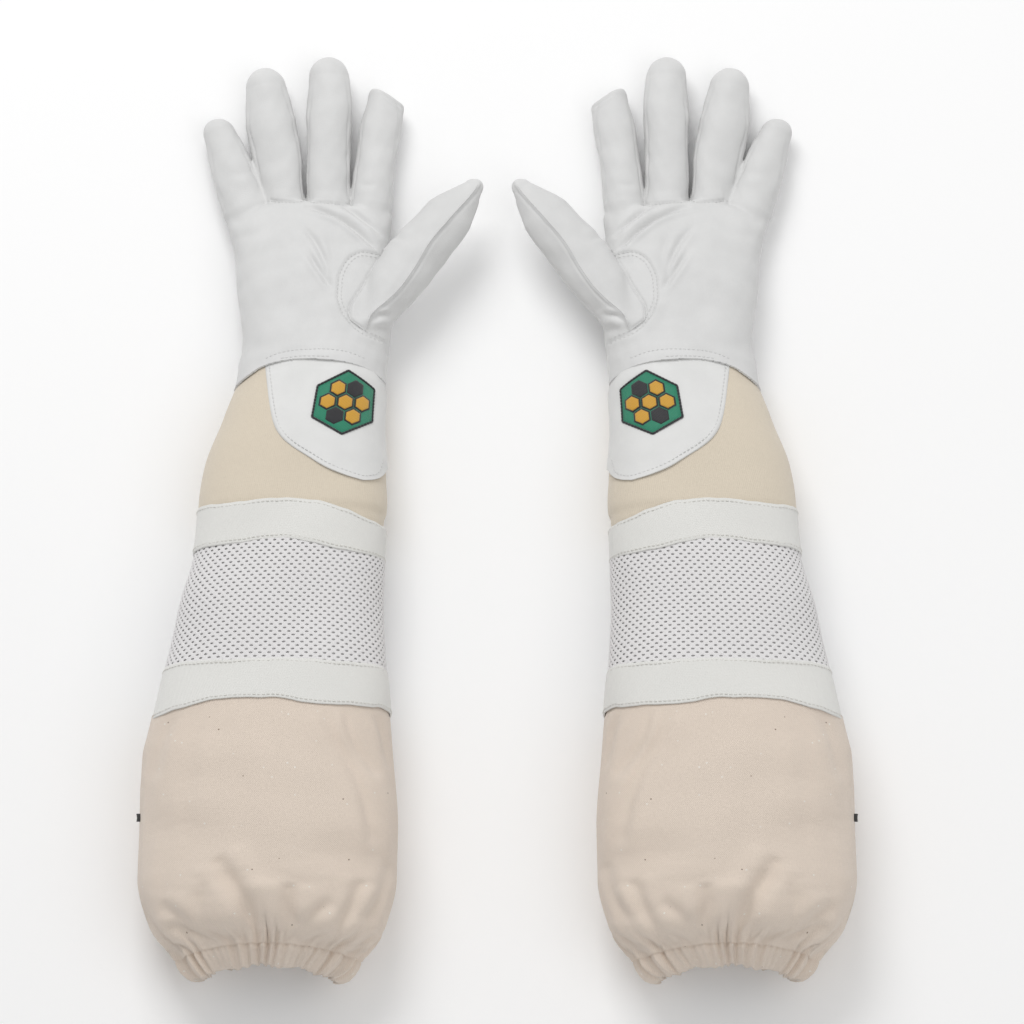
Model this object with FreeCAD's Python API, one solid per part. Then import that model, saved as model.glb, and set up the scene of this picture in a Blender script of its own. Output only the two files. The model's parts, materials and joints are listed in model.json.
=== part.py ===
"""A pair of beekeeping gloves: a goatskin hand sewn to a twill cuff, a ventilated mesh band between two
white tapes, and a canvas gauntlet that is gathered by an elastic hem.

Both gloves lie on their backs, palm up. +Z is up, +Y runs from the hem to the fingertips, and the origin is
under the middle of the pair, on the surface that they lie on. Everything is in millimetres. One right-hand
glove is modelled in its own frame, with x = 0 on the middle of the wrist, and its mirror image is the left.
"""
import FreeCAD
import Part

import math
import os

V = FreeCAD.Vector

# ---- where the gloves lie ----
GLOVE_X = 111.3          # from the middle of the pair to the middle of each wrist

# ---- thicknesses and clearances ----
LEATHER = 1.5
CLOTH = 1.5
MESH_LAYER = 1.5
PATCH = 1.2
BADGE = 1.0
GUSSET = 1.0
JOINT_GAP = 0.6          # between pieces on either side of a fold that moves
FLOOR_DIP = 2.0          # how far a resting section is pressed flat
EDGE = 2.0               # how far a cutting loft runs past the piece that it cuts
REACH = 1000.0           # half the size of a block that stands for everything on one side

# ---- lengths along the glove (y), from the hem to the knuckles ----
HEM_END = -286.0
HEM_TOP = -271.0
LOWER_BAND = (-126.0, -97.5)
UPPER_BAND = (-26.0, 0.0)
WRIST = 90.0
KNUCKLE_END = 212.0      # the palm's loft runs past the knuckles and is trimmed to the fingers

# Each station: (y, middle x, half width, height, lowest z). The sleeve tapers from gauntlet to wrist.
SLEEVE = [
    (HEM_END, -25.5, 44.0, 44.0, 7.0),
    (HEM_TOP, -24.0, 55.0, 58.0, 4.0),
    (-250.0, -24.5, 70.0, 80.0, -FLOOR_DIP),
    (-222.0, -24.5, 77.0, 88.0, -FLOOR_DIP),
    (-190.0, -24.5, 77.0, 88.0, -FLOOR_DIP),
    (-150.0, -24.0, 74.0, 84.0, -FLOOR_DIP),
    (LOWER_BAND[0], -23.5, 69.5, 80.0, -FLOOR_DIP),
    (LOWER_BAND[1], -20.5, 66.0, 76.0, -FLOOR_DIP),
    (-60.0, -18.5, 61.0, 72.0, -FLOOR_DIP),
    (UPPER_BAND[0], -14.0, 57.0, 68.0, -FLOOR_DIP),
    (UPPER_BAND[1], -12.5, 57.0, 66.0, -FLOOR_DIP),
    (30.0, -9.5, 53.5, 62.0, -FLOOR_DIP),
    (60.0, -5.0, 48.0, 56.0, -FLOOR_DIP),
    (WRIST, 0.0, 44.5, 50.0, -FLOOR_DIP),
]
PALM = [
    (WRIST, 0.0, 44.5, 50.0, -FLOOR_DIP),
    (116.0, 1.5, 44.7, 46.0, -FLOOR_DIP),
    (150.0, 0.0, 46.8, 40.0, -FLOOR_DIP),
    (176.0, -1.0, 48.0, 34.0, -FLOOR_DIP),
    (196.0, -3.0, 51.0, 27.5, -FLOOR_DIP),
    (KNUCKLE_END, -5.0, 52.0, 25.0, -FLOOR_DIP),
]
SQUARENESS = 2.4         # exponent of the sections: 2 is an ellipse, and more is squarer
SECTION_POINTS = 16
SIDE_SEAM = 16.0         # height of the seam between the palm and back panels

# ---- fingers: base middle (x, y), splay in degrees (+ is away from the thumb), and the stations along the
# finger: (distance from the base as a share of its length, half width, height) ----
FINGER_Z = 1.0           # the backs of the fingers lie just clear of the surface
FINGERS = {
    "index": dict(base=(35.5, 196.5), splay=-7.3, length=72.0, seams=("left",), stations=[
        (0.0, 11.6, 24.0), (0.3, 11.8, 23.0), (0.6, 12.0, 22.0), (0.85, 10.5, 18.5)]),
    "middle": dict(base=(9.0, 198.0), splay=0.0, length=88.0, seams=("left", "right"), stations=[
        (0.0, 13.0, 24.5), (0.3, 13.2, 24.0), (0.6, 13.8, 23.5), (0.85, 12.6, 20.0)]),
    "ring": dict(base=(-17.0, 198.5), splay=8.3, length=82.0, seams=("left", "right"), stations=[
        (0.0, 11.0, 24.0), (0.3, 13.2, 23.5), (0.6, 14.2, 23.0), (0.85, 11.8, 19.5)]),
    "little": dict(base=(-41.2, 194.0), splay=18.0, length=55.0, seams=("right",), stations=[
        (0.0, 12.2, 23.0), (0.3, 12.0, 21.5), (0.6, 10.6, 19.5), (0.85, 8.8, 16.5)]),
}
LOW_SIDE = 0.35                  # share of a finger's thinning that is taken from its lower side
FOURCHETTE_BAND = (0.30, 0.70)   # the side strips' place, as shares of the finger's height
FOURCHETTE_END = 0.8             # where they end, as a share of its length
TIP_STEPS = (0.4, 0.7, 0.9, 1.0)  # places of a tip's sections, from its last station to its end
TIP_ROUND = 0.98                 # 1 would close the tip to a point

# ---- thumb: a line from its base to its tip, and its stations (share of length, half width, height) ----
THUMB_BASE = V(38.0, 122.0, 31.0)
THUMB_TIP = V(99.0, 203.5, 36.0)
THUMB_STATIONS = [(0.0, 13.0, 24.0), (0.2, 16.5, 27.0), (0.5, 17.0, 26.0), (0.75, 14.5, 22.0),
                  (0.9, 9.5, 16.0)]
THUMB_FOLD_FROM = V(22.8, 120.3, 42.0)   # the fold where the thumb meets the palm
THUMB_FOLD_TO = V(46.8, 173.9, 42.0)
GUSSET_CENTRE = V(29.0, 142.0, 25.0)     # the oval gusset on the palm round the thumb
GUSSET_RADII = (30.0, 16.0)
GUSSET_TURN = 66.0

# ---- the leather patch on the cuff, the badge on it, and the tab in the gauntlet's side seam ----
PATCH_TOP = 89.0
PATCH_LEFT = -25.0
PATCH_CORNER = (-20.0, 46.0)     # where the patch's straight edge starts to curve
PATCH_BOW = (2.0, 23.0)          # a point that the curve passes through
PATCH_FOOT = (34.0, 14.0)        # where the curve ends, and the lower edge runs on round the side
PATCH_SIDE = 60.0
PATCH_LOWEST = 12.0              # how far down the side of the cuff it reaches
BADGE_CENTRE = (24.5, 68.0)
BADGE_RADIUS = 21.0
BADGE_LOWEST = 25.0              # the badge stays on the upper half of the cuff
LABEL_CORNER = V(-104.2, -189.2, 40.2)
LABEL_SIZE = (4.2, 6.4, 1.6)

# ---- the hem: layers, measured inwards from its outside ----
HEM_THICKNESS = 5.2
CHANNEL_INSET = (1.4, 3.8)
ELASTIC_INSET = (1.7, 3.5)
CHANNEL_MARGIN = 2.0             # from each edge of the hem to its channel
ELASTIC_MARGIN = 2.5


def section(station, inset=0.0):
    """A closed smooth wire in the XZ plane at a station, moved inwards by inset."""
    y, middle, half_width, height, low = station
    a, b = half_width - inset, height / 2 - inset
    points = []
    for i in range(SECTION_POINTS):
        t = 2 * math.pi * i / SECTION_POINTS
        c, s = math.cos(t), math.sin(t)
        points.append(V(middle + a * math.copysign(abs(c) ** (2 / SQUARENESS), c), y,
                        low + height / 2 + b * math.copysign(abs(s) ** (2 / SQUARENESS), s)))
    curve = Part.BSplineCurve()
    curve.interpolate(points, PeriodicFlag=True)
    return Part.Wire([curve.toShape()])


def loft(stations, inset=0.0):
    """A closed solid through the stations, straight from each one to the next."""
    return Part.makeLoft([section(s, inset) for s in stations], True, True)


def slab(low, high, axis=1):
    """A block that reaches past everything but along one axis, where it runs from low to high."""
    corner, size = [-REACH] * 3, [2 * REACH] * 3
    corner[axis], size[axis] = low, high - low
    return Part.makeBox(*size, V(*corner))


def above(z):
    return slab(z, REACH, axis=2)


def extended(stations):
    """The stations with both ends carried a little further, so that a cut leaves no skin."""
    first, last = stations[0], stations[-1]
    return [(first[0] - EDGE, *first[1:]), *stations[1:-1], (last[0] + EDGE, *last[1:])]


def skin(stations, outside, inside, floor=0.0):
    """The shell between two insets of a loft, resting flat on the surface at floor."""
    outer = loft(stations, outside).common(above(floor + outside))
    inner = loft(extended(stations), inside).common(above(floor + inside))
    return outer.cut(inner)


def prism(wire):
    """Everything straight above a flat wire."""
    return Part.Face(wire).extrude(V(0, 0, REACH))


# ---------------------------------------------------------------- the sleeve
def sleeve_parts():
    """The cloth tube's pieces from hem to wrist, with what is sewn on them."""
    shell = skin(SLEEVE, 0.0, CLOTH)
    core = skin(SLEEVE, CLOTH, CLOTH + MESH_LAYER)
    mesh_span = slab(LOWER_BAND[1], UPPER_BAND[0])
    return {
        "gauntlet": shell.common(slab(HEM_TOP, LOWER_BAND[0])),
        "lower_band": shell.common(slab(*LOWER_BAND)),
        "mesh_face": shell.common(mesh_span),
        "mesh_core": core.common(mesh_span),
        "upper_band": shell.common(slab(*UPPER_BAND)),
        "cuff": shell.common(slab(UPPER_BAND[1], WRIST)),
        **hem_parts(),
        **trim_parts(),
    }


def hem_parts():
    """The folded hem with its channel, and the elastic that runs round in it."""
    stations = SLEEVE[:3]
    ring, channel, elastic = (
        skin(stations, *inset, floor=-REACH).common(slab(HEM_END + margin, HEM_TOP - margin))
        for inset, margin in (((0.0, HEM_THICKNESS), 0.0), (CHANNEL_INSET, CHANNEL_MARGIN),
                              (ELASTIC_INSET, ELASTIC_MARGIN)))
    return {"hem_casing": ring.cut(channel), "elastic": elastic}


def trim_parts():
    """The leather patch on the cuff, the embroidered badge on it, and the tab in the side seam."""
    outer = loft(SLEEVE)
    raised = loft(SLEEVE, -PATCH)
    top = loft(SLEEVE, -PATCH - BADGE)
    corners = [V(x, y, PATCH_LOWEST) for x, y in (
        (PATCH_LEFT, PATCH_TOP), PATCH_CORNER, PATCH_BOW, PATCH_FOOT,
        (PATCH_SIDE, PATCH_FOOT[1]), (PATCH_SIDE, PATCH_TOP))]
    edges = [Part.LineSegment(corners[0], corners[1]), Part.Arc(*corners[1:4])]
    edges += [Part.LineSegment(a, b) for a, b in zip(corners[3:], corners[4:] + corners[:1])]
    outline = Part.Wire([edge.toShape() for edge in edges])
    rim = [V(BADGE_CENTRE[0] + BADGE_RADIUS * math.sin(math.pi * k / 3),
             BADGE_CENTRE[1] + BADGE_RADIUS * math.cos(math.pi * k / 3), PATCH_LOWEST) for k in range(7)]
    return {
        "cuff_patch": raised.cut(outer).common(prism(outline)),
        "badge": top.cut(raised).common(prism(Part.makePolygon(rim))).common(above(BADGE_LOWEST)),
        "side_label": Part.makeBox(*LABEL_SIZE, LABEL_CORNER).cut(outer),
    }


# ---------------------------------------------------------------- the fingers
def rounded(rows, end, inset=0.0):
    """The rows moved inwards by inset and closed by a rounded tip at end."""
    rows = [(y, x, half - inset, height - 2 * inset, low + inset) for y, x, half, height, low in rows]
    y, x, half, height, low = rows[-1]
    for t in TIP_STEPS:
        share = math.sqrt(1 - (TIP_ROUND * t) ** 2)
        rows.append((y + (end - inset - y) * t, x, half * share, height * share,
                     low + height * (1 - share) / 2))
    return rows


def started(rows, y):
    """The rows with their first section moved to y."""
    return [(y, *rows[0][1:]), *rows[1:]]


def place(shape, base, splay):
    """Carries a shape from a finger's own frame, where it points along +Y from the origin, to the glove's."""
    moved = shape.copy()
    moved.rotate(V(0, 0, 0), V(0, 0, 1), splay)
    moved.translate(V(*base, 0))
    return moved


def finger_parts(name, finger):
    """The front, the back and the side strips (fourchettes) of one finger, in the glove's frame."""
    length, height = finger["length"], finger["stations"][0][2]
    rows = [(share * length, 0.0, half, tall, FINGER_Z + (height - tall) * LOW_SIDE)
            for share, half, tall in finger["stations"]]
    tube = loft(started(rounded(rows, length), JOINT_GAP))
    tube = tube.cut(loft(started(rounded(rows, length, LEATHER), -EDGE)))
    low, high = (FINGER_Z + height * share for share in FOURCHETTE_BAND)
    sides = {"left": slab(-REACH, 0.0, axis=0), "right": slab(0.0, REACH, axis=0)}
    band = slab(low, high, axis=2).common(slab(-EDGE, FOURCHETTE_END * length))
    strips = Part.makeCompound([band.common(sides[seam]) for seam in finger["seams"]])
    middle = above(FINGER_Z + height / 2)
    pieces = {
        f"{name}_front": tube.common(middle).cut(strips),
        f"{name}_back": tube.cut(middle).cut(strips),
        f"{name}_fourchettes": tube.common(strips),
    }
    return {key: place(shape, finger["base"], finger["splay"]) for key, shape in pieces.items()}


# ---------------------------------------------------------------- the thumb
def thumb_loft(inset=0.0, before=0.0):
    """The thumb's outside, or its hollow at an inset, square to its own line."""
    line = THUMB_TIP - THUMB_BASE
    rows = [(share * line.Length, 0.0, half, height, -height / 2) for share, half, height in THUMB_STATIONS]
    body = loft(started(rounded(rows, line.Length, inset), -before))
    body.rotate(V(0, 0, 0), V(1, 0, 0), math.degrees(math.asin(line.z / line.Length)))
    body.rotate(V(0, 0, 0), V(0, 0, 1), -math.degrees(math.atan2(line.x, line.y)))
    body.translate(THUMB_BASE)
    return body


def beside_line(start, end, side, offset=0.0):
    """Everything on one side (+1 is the right) of the upright plane through two points."""
    right = V(end.y - start.y, start.x - end.x, 0).normalize() * side
    block = Part.makeBox(REACH, 2 * REACH, 2 * REACH, V(0, -REACH, -REACH))
    block.rotate(V(0, 0, 0), V(0, 0, 1), math.degrees(math.atan2(right.y, right.x)))
    block.translate(start + right * offset)
    return block


def thumb_parts():
    """The thumb's two panels, trimmed clear of the palm and split along the seam that runs to its tip."""
    tube = thumb_loft().cut(thumb_loft(LEATHER, before=EDGE))
    tube = tube.cut(loft(PALM, -GUSSET - JOINT_GAP))
    tube = tube.common(beside_line(THUMB_FOLD_FROM, THUMB_FOLD_TO, 1, JOINT_GAP))
    return {
        "thumb_front": tube.common(beside_line(THUMB_BASE, THUMB_TIP, -1)),
        "thumb_back": tube.common(beside_line(THUMB_BASE, THUMB_TIP, 1)),
    }


# ---------------------------------------------------------------- the hand
def beyond_knuckles():
    """The space past the fingers' bases, which the palm is trimmed by."""
    block = Part.makeBox(36.0, 80.0, 200.0, V(-18.0, 0.0, -60.0))
    spaces = [place(block, finger["base"], finger["splay"]) for finger in FINGERS.values()]
    return spaces[0].multiFuse(spaces[1:])


def hand_parts():
    """The palm and back panels, open at the wrist and at the knuckles, and the gusset round the thumb."""
    outer = loft(PALM).common(slab(WRIST + JOINT_GAP, REACH)).common(above(0.0)).cut(beyond_knuckles())
    shell = outer.cut(loft(extended(PALM), LEATHER).common(above(LEATHER)))
    shell = shell.cut(thumb_loft(LEATHER))
    oval = Part.Wire([Part.Ellipse(V(0, 0, 0), *GUSSET_RADII).toShape()])
    oval.rotate(V(0, 0, 0), V(0, 0, 1), GUSSET_TURN)
    oval.translate(GUSSET_CENTRE)
    gusset = loft(PALM, -GUSSET).cut(loft(PALM)).common(prism(oval))
    return {
        "palm_panel": shell.common(above(SIDE_SEAM)),
        "back_panel": shell.cut(above(SIDE_SEAM)),
        "thumb_gusset": gusset.common(beside_line(THUMB_FOLD_FROM, THUMB_FOLD_TO, -1, JOINT_GAP)),
    }


def export(name, shape):
    """Writes one node, and prints how many solids it has, their volume, and whether they are sound."""
    solids = shape.Solids
    whole = solids[0] if len(solids) == 1 else Part.makeCompound(solids)
    whole.exportStep(os.path.join("parts", name + ".step"))
    sound = all(solid.isValid() and solid.isClosed() for solid in solids)
    print(f"{name:26s} solids {len(solids)}, {whole.Volume:9.1f} mm3, {'sound' if sound else 'NOT SOUND'}")


def main():
    os.makedirs("parts", exist_ok=True)
    parts = {**sleeve_parts(), **hand_parts(), **thumb_parts()}
    for name, finger in FINGERS.items():
        parts.update(finger_parts(name, finger))
    for name, shape in parts.items():
        right = shape.copy()
        right.translate(V(-GLOVE_X, 0, 0))
        export("right_" + name, right)
        export("left_" + name, right.mirror(V(0, 0, 0), V(1, 0, 0)))


main()
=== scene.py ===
"""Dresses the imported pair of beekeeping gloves: grained goatskin hands, twill cuffs with a badge, open mesh
bands between white tapes, and canvas gauntlets gathered by an elastic hem.

One right-hand glove is modelled in millimetres in its own frame: x = 0 is the middle of the wrist,
+y runs to the fingertips, and z = 0 is the surface it lies on. Each piece is then placed in metres,
and mirrored for the left.
"""
import json
import math

import bpy
import numpy as np
import openvdb
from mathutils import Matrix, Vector
from mathutils.bvhtree import BVHTree


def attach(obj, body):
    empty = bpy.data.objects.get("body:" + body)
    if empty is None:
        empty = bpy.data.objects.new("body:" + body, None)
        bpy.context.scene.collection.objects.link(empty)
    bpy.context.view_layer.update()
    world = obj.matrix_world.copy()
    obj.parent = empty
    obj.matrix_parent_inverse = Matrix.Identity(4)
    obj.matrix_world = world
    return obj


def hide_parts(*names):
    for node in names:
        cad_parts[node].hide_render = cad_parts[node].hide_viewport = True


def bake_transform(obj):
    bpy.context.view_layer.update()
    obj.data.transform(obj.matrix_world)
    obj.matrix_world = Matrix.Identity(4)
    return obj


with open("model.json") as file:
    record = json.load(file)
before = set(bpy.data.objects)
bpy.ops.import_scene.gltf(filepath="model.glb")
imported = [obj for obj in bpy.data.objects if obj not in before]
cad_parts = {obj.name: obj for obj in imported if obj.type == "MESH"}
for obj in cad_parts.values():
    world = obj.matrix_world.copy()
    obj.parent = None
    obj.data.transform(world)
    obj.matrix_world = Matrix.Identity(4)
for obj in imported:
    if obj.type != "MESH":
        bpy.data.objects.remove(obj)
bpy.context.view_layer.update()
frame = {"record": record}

MM = 0.001
SIDES = ("right", "left")

# ---------------------------------------------------------------- driving dimensions (mm)
wrist_joint = next(j for j in frame["record"]["behaviour"]["joints"] if j["name"] == "right_wrist_fold")
GLOVE_X = -wrist_joint["pos_m"][0] / MM          # from the middle of the pair to the middle of a wrist
LOWER_BAND = (-126.0, -97.5)
UPPER_BAND = (-26.0, 0.0)
HEM_TOP, HEM_END = -271.0, -286.0
CLOTH, LEATHER = 1.0, 1.3

# (y, middle x, half width, height, lowest z) along the glove, hem to knuckles
FORM = np.array([
    (-290.0, -24.5, 42.0, 40.0, 9.0),
    (-271.0, -22.4, 55.6, 58.0, 4.0),
    (-250.0, -23.3, 69.7, 80.0, -2.0),
    (-222.0, -23.8, 76.2, 88.0, -2.0),
    (-190.0, -23.1, 76.1, 88.0, -2.0),
    (-150.0, -24.0, 74.0, 84.0, -2.0),
    (-126.0, -22.2, 70.3, 80.0, -2.0),
    (-97.5, -19.9, 65.3, 76.0, -2.0),
    (-60.0, -17.4, 60.1, 72.0, -2.0),
    (-26.0, -12.9, 56.9, 68.0, -2.0),
    (0.0, -10.9, 56.4, 66.0, -2.0),
    (30.0, -9.1, 53.3, 62.0, -2.0),
    (60.0, -4.0, 47.5, 56.0, -2.0),
    (90.0, 0.7, 43.4, 50.0, -2.0),
    (116.0, 2.1, 44.1, 46.0, -2.0),
    (150.0, 0.4, 46.4, 40.0, -2.0),
    (176.0, -1.0, 48.0, 34.0, -2.0),
    (196.0, -3.0, 51.0, 27.5, -2.0),
    (212.0, -5.0, 52.0, 25.0, -2.0),
])
SQUARENESS = 2.4

# base (x, y), splay in degrees, length, and (share of length, half width, height)
FINGERS = {
    "index": ((34.6, 196.5), -6.2, 77.0,
              [(0, 12.6, 24.0), (0.3, 12.3, 23.0), (0.6, 12.2, 22.0), (0.85, 10.4, 18.5)]),
    "middle": ((8.9, 198.0), -0.3, 91.0,
               [(0, 13.6, 24.5), (0.3, 13.4, 24.0), (0.6, 13.8, 23.5), (0.85, 12.9, 20.0)]),
    "ring": ((-18.0, 198.5), 9.4, 84.5,
             [(0, 12.8, 24.0), (0.3, 14.2, 23.5), (0.6, 15.3, 23.0), (0.85, 12.7, 19.5)]),
    "little": ((-40.2, 194.0), 19.4, 59.3,
               [(0, 14.8, 23.5), (0.3, 13.2, 22.0), (0.6, 11.8, 19.5), (0.85, 9.5, 16.5)]),
}
FINGER_REST = 1.0        # height of the fingers' backs over the surface
THUMB_BASE, THUMB_TIP = np.array((38.0, 122.0, 31.0)), np.array((99.0, 203.5, 36.0))
THUMB_STATIONS = [(-0.15, 10.0, 21.0), (0.0, 11.4, 25.0), (0.1, 12.8, 27.0), (0.2, 14.8, 28.0),
                  (0.35, 16.5, 27.0), (0.5, 17.0, 26.0), (0.75, 14.4, 21.0), (0.9, 9.0, 14.0),
                  (1.0, 4.0, 8.0)]
THUMB_BOW = [1.0, 0.0, -0.9, -1.8, -2.5, -3.1, -1.8, -0.5, 0.0]
THUMB_ROOT = (48.0, 70.0)    # two places across the glove at the thumb's root; the thumb's skin starts past the first


# ---------------------------------------------------------------- small maths
def monotone(xs, ys, x):
    """Smooth values through (xs, ys) at x that never overshoot them."""
    xs, ys = np.asarray(xs, float), np.asarray(ys, float)
    step, slope = np.diff(xs), np.diff(ys) / np.diff(xs)
    m = np.zeros(len(xs))
    inner = slope[:-1] * slope[1:] > 0
    m[1:-1][inner] = 2 * slope[:-1][inner] * slope[1:][inner] / (slope[:-1][inner] + slope[1:][inner])
    m[0], m[-1] = slope[0], slope[-1]
    k = np.clip(np.searchsorted(xs, x) - 1, 0, len(step) - 1)
    t = (x - xs[k]) / step[k]
    return ((2 * t**3 - 3 * t**2 + 1) * ys[k] + (t**3 - 2 * t**2 + t) * step[k] * m[k]
            + (3 * t**2 - 2 * t**3) * ys[k + 1] + (t**3 - t**2) * step[k] * m[k + 1])


def smoothstep(low, high, x):
    t = np.clip((x - low) / (high - low), 0, 1)
    return t * t * (3 - 2 * t)


def soft_min(a, b, k):
    """The smaller of two distances, rounded over k where they are close."""
    h = np.clip(0.5 + 0.5 * (b - a) / k, 0, 1)
    return b + (a - b) * h - k * h * (1 - h)


def soft_max(a, b, k):
    return -soft_min(-a, -b, k)


def dent(distance, width):
    """A bell-shaped dent or ridge, 1 in its middle and fading out over width."""
    return np.exp(-((distance / width) ** 2))


WAVE_COUNT, WAVE_TOTAL = 6, 3.5
PHASES = 6.28            # the random phases reach to here, in radians


def waves(x, y, z, scale, seed):
    """Smooth bumpy noise in about -1..1: a few crossed sine waves with fixed, seeded directions."""
    rng = np.random.default_rng(seed)
    total = 0.0
    for _ in range(WAVE_COUNT):
        d = rng.normal(size=3)
        d /= np.linalg.norm(d)
        size, phase = scale * rng.uniform(0.7, 1.5), rng.uniform(0, PHASES)
        total = total + np.sin((d[0] * x + d[1] * y + d[2] * z) * 2 * math.pi / size + phase)
    return total / WAVE_TOTAL


def cloth_waves(u, y, scale, seed, girth=300):
    """The noise on a sleeve of about the given girth, at shares u round it."""
    return waves(girth * u, y, 0 * u, scale, seed)


def path_frames(points, spacing):
    """Evenly spaced places and directions along a smooth curve through points."""
    points = np.asarray(points, float)
    n = len(points)
    k = np.linspace(0, n - 1, 30 * n)
    dense = np.stack([monotone(np.arange(n), points[:, i], k) for i in range(points.shape[1])], 1)
    run = np.concatenate([[0], np.cumsum(np.linalg.norm(np.diff(dense, axis=0), axis=1))])
    count = max(2, int(round(run[-1] / spacing)) + 1)
    s = np.linspace(0, run[-1], count)
    places = np.stack([np.interp(s, run, dense[:, i]) for i in range(points.shape[1])], 1)
    return places, np.gradient(places, axis=0)


def distance_to_path(x, y, points):
    """How far each (x, y) is from a smooth curve through points, positive on its left, and the share
    along it of the nearest place."""
    places, _ = path_frames(points, 2.0)
    best, side, share = np.full(len(x), 1e9), np.ones(len(x)), np.zeros(len(x))
    for k in range(len(places) - 1):
        a, d = places[k], places[k + 1] - places[k]
        rx, ry = x - a[0], y - a[1]
        t = np.clip((rx * d[0] + ry * d[1]) / (d @ d), 0, 1)
        r = np.hypot(rx - t * d[0], ry - t * d[1])
        closer = r < best
        best[closer] = r[closer]
        side[closer] = np.sign(d[0] * ry - d[1] * rx)[closer]
        share[closer] = (k + t[closer]) / (len(places) - 1)
    return best * np.where(side == 0, 1, side), share


# ---------------------------------------------------------------- the glove's outside as a form
RING_STEPS = 240
RING_YS = np.arange(-292.0, 214.0, 1.0)
SHARES = np.linspace(0, 1, 361)
RING_FLOOR, RING_ROUND = 0.4, 3.0    # the sections' lowest place, and how softly they come down to it
FORM_WAVES = (60.0, 5)               # length and seed of the form's own unevenness
FORM_WAVE_HEIGHT = 0.9
FLOOR_GAP = 0.3                      # every skin stays this far above the surface


def form_value(column, y):
    """One of the form's measures at a place y along it."""
    return float(monotone(FORM[:, 0], FORM[:, column], np.array([y]))[0])


def ring(y):
    """The form's section at y, from the thumbless side over the palm side and back underneath: the
    share round it, x and z at each step, and its length."""
    middle, half, height, low = (form_value(i, y) for i in range(1, 5))
    t = np.linspace(math.pi, -math.pi, RING_STEPS)
    c, s = np.cos(t), np.sin(t)
    x = middle + half * np.sign(c) * np.abs(c) ** (2 / SQUARENESS)
    z = low + height / 2 * (1 + np.sign(s) * np.abs(s) ** (2 / SQUARENESS))
    z = soft_max(z, np.full_like(z, RING_FLOOR), RING_ROUND)
    run = np.concatenate([[0], np.cumsum(np.hypot(np.diff(x), np.diff(z)))])
    return run / run[-1], x, z, run[-1]


def ring_table():
    """x, z and the outward direction at even shares round the form, for every place in RING_YS."""
    rows = []
    for y in RING_YS:
        share, x, z, _ = ring(float(y))
        px, pz = np.interp(SHARES, share, x), np.interp(SHARES, share, z)
        nx, nz = -np.gradient(pz), np.gradient(px)
        size = np.hypot(nx, nz) + 1e-9
        rows.append(np.stack([px, pz, nx / size, nz / size], -1))
    return np.array(rows)


RINGS = ring_table()


def on_form(u, y, lift=0.0):
    """Points at shares u round the form and places y along it, lift off its surface."""
    u, y, lift = np.broadcast_arrays(*(np.asarray(v, float) for v in (u, y, lift)))
    row = np.clip(y - RING_YS[0], 0, len(RING_YS) - 1.001)
    column = np.mod(u, 1.0) * (len(SHARES) - 1)
    i, k = row.astype(int), np.minimum(column.astype(int), len(SHARES) - 2)
    a, b = (row - i)[..., None], (column - k)[..., None]
    found = ((1 - a) * ((1 - b) * RINGS[i, k] + b * RINGS[i, k + 1])
             + a * ((1 - b) * RINGS[i + 1, k] + b * RINGS[i + 1, k + 1]))
    px, pz, nx, nz = (found[..., j] for j in range(4))
    size = np.hypot(nx, nz) + 1e-9
    off = FORM_WAVE_HEIGHT * waves(px, y, pz, *FORM_WAVES) + lift
    low = FLOOR_GAP + np.clip(lift, 0, 3)
    return np.stack([px + off * nx / size, y, np.maximum(pz + off * nz / size, low)], -1)


def share_at(x, y):
    """The share round the form of the palm-side point at x."""
    share, px, _, _ = ring(float(y))
    top = RING_STEPS // 2
    return float(np.interp(x, px[:top], share[:top]))


# ---------------------------------------------------------------- meshes
class Piece:
    """A mesh in the right-hand glove's frame: points, faces, and the cloth coordinates of each point."""

    def __init__(self, points, faces, cloth=None, normals=None):
        self.points = np.asarray(points, float).reshape(-1, 3)
        self.faces = [tuple(f) for f in faces]
        self.cloth = self.points if cloth is None else np.asarray(cloth, float).reshape(-1, 3)
        self.normals = normals      # where the shading must run on smoothly into a neighbour


def join(pieces):
    points, faces, cloth, base = [], [], [], 0
    for piece in pieces:
        points.append(piece.points)
        cloth.append(piece.cloth)
        faces += [tuple(i + base for i in f) for f in piece.faces]
        base += len(piece.points)
    return Piece(np.concatenate(points), faces, np.concatenate(cloth))


def grid_faces(rows, columns, closed):
    """Quads over a grid of points, row by row; closed joins the last column to the first."""
    faces = []
    for r in range(rows - 1):
        for c in range(columns if closed else columns - 1):
            d = (c + 1) % columns
            faces.append((r * columns + c, r * columns + d, (r + 1) * columns + d, (r + 1) * columns + c))
    return faces


def flipped(faces):
    return [f[::-1] for f in faces]


def tube(ys, columns, lift, edge=None):
    """A sleeve of the form over the rows ys. lift(u, y) raises it, and edge(u, y) shifts it along."""
    u, y = np.meshgrid(np.arange(columns) / columns, ys)
    raised = lift(u, y)
    shifted = y if edge is None else y + edge(u, y)
    cloth = np.stack([u * ring(float(np.mean(ys)))[3], y, raised], -1)
    faces = grid_faces(len(ys), columns, True)
    return Piece(on_form(u, shifted, raised), faces if ys[-1] > ys[0] else flipped(faces), cloth)


def crisp_rim(mesh):
    """Keeps the shading of a skin apart from that of its cut edge."""
    users = np.empty(len(mesh.loops), np.int32)
    mesh.loops.foreach_get("edge_index", users)
    mesh.edges.foreach_set("use_edge_sharp", np.bincount(users, minlength=len(mesh.edges)) == 1)


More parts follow.
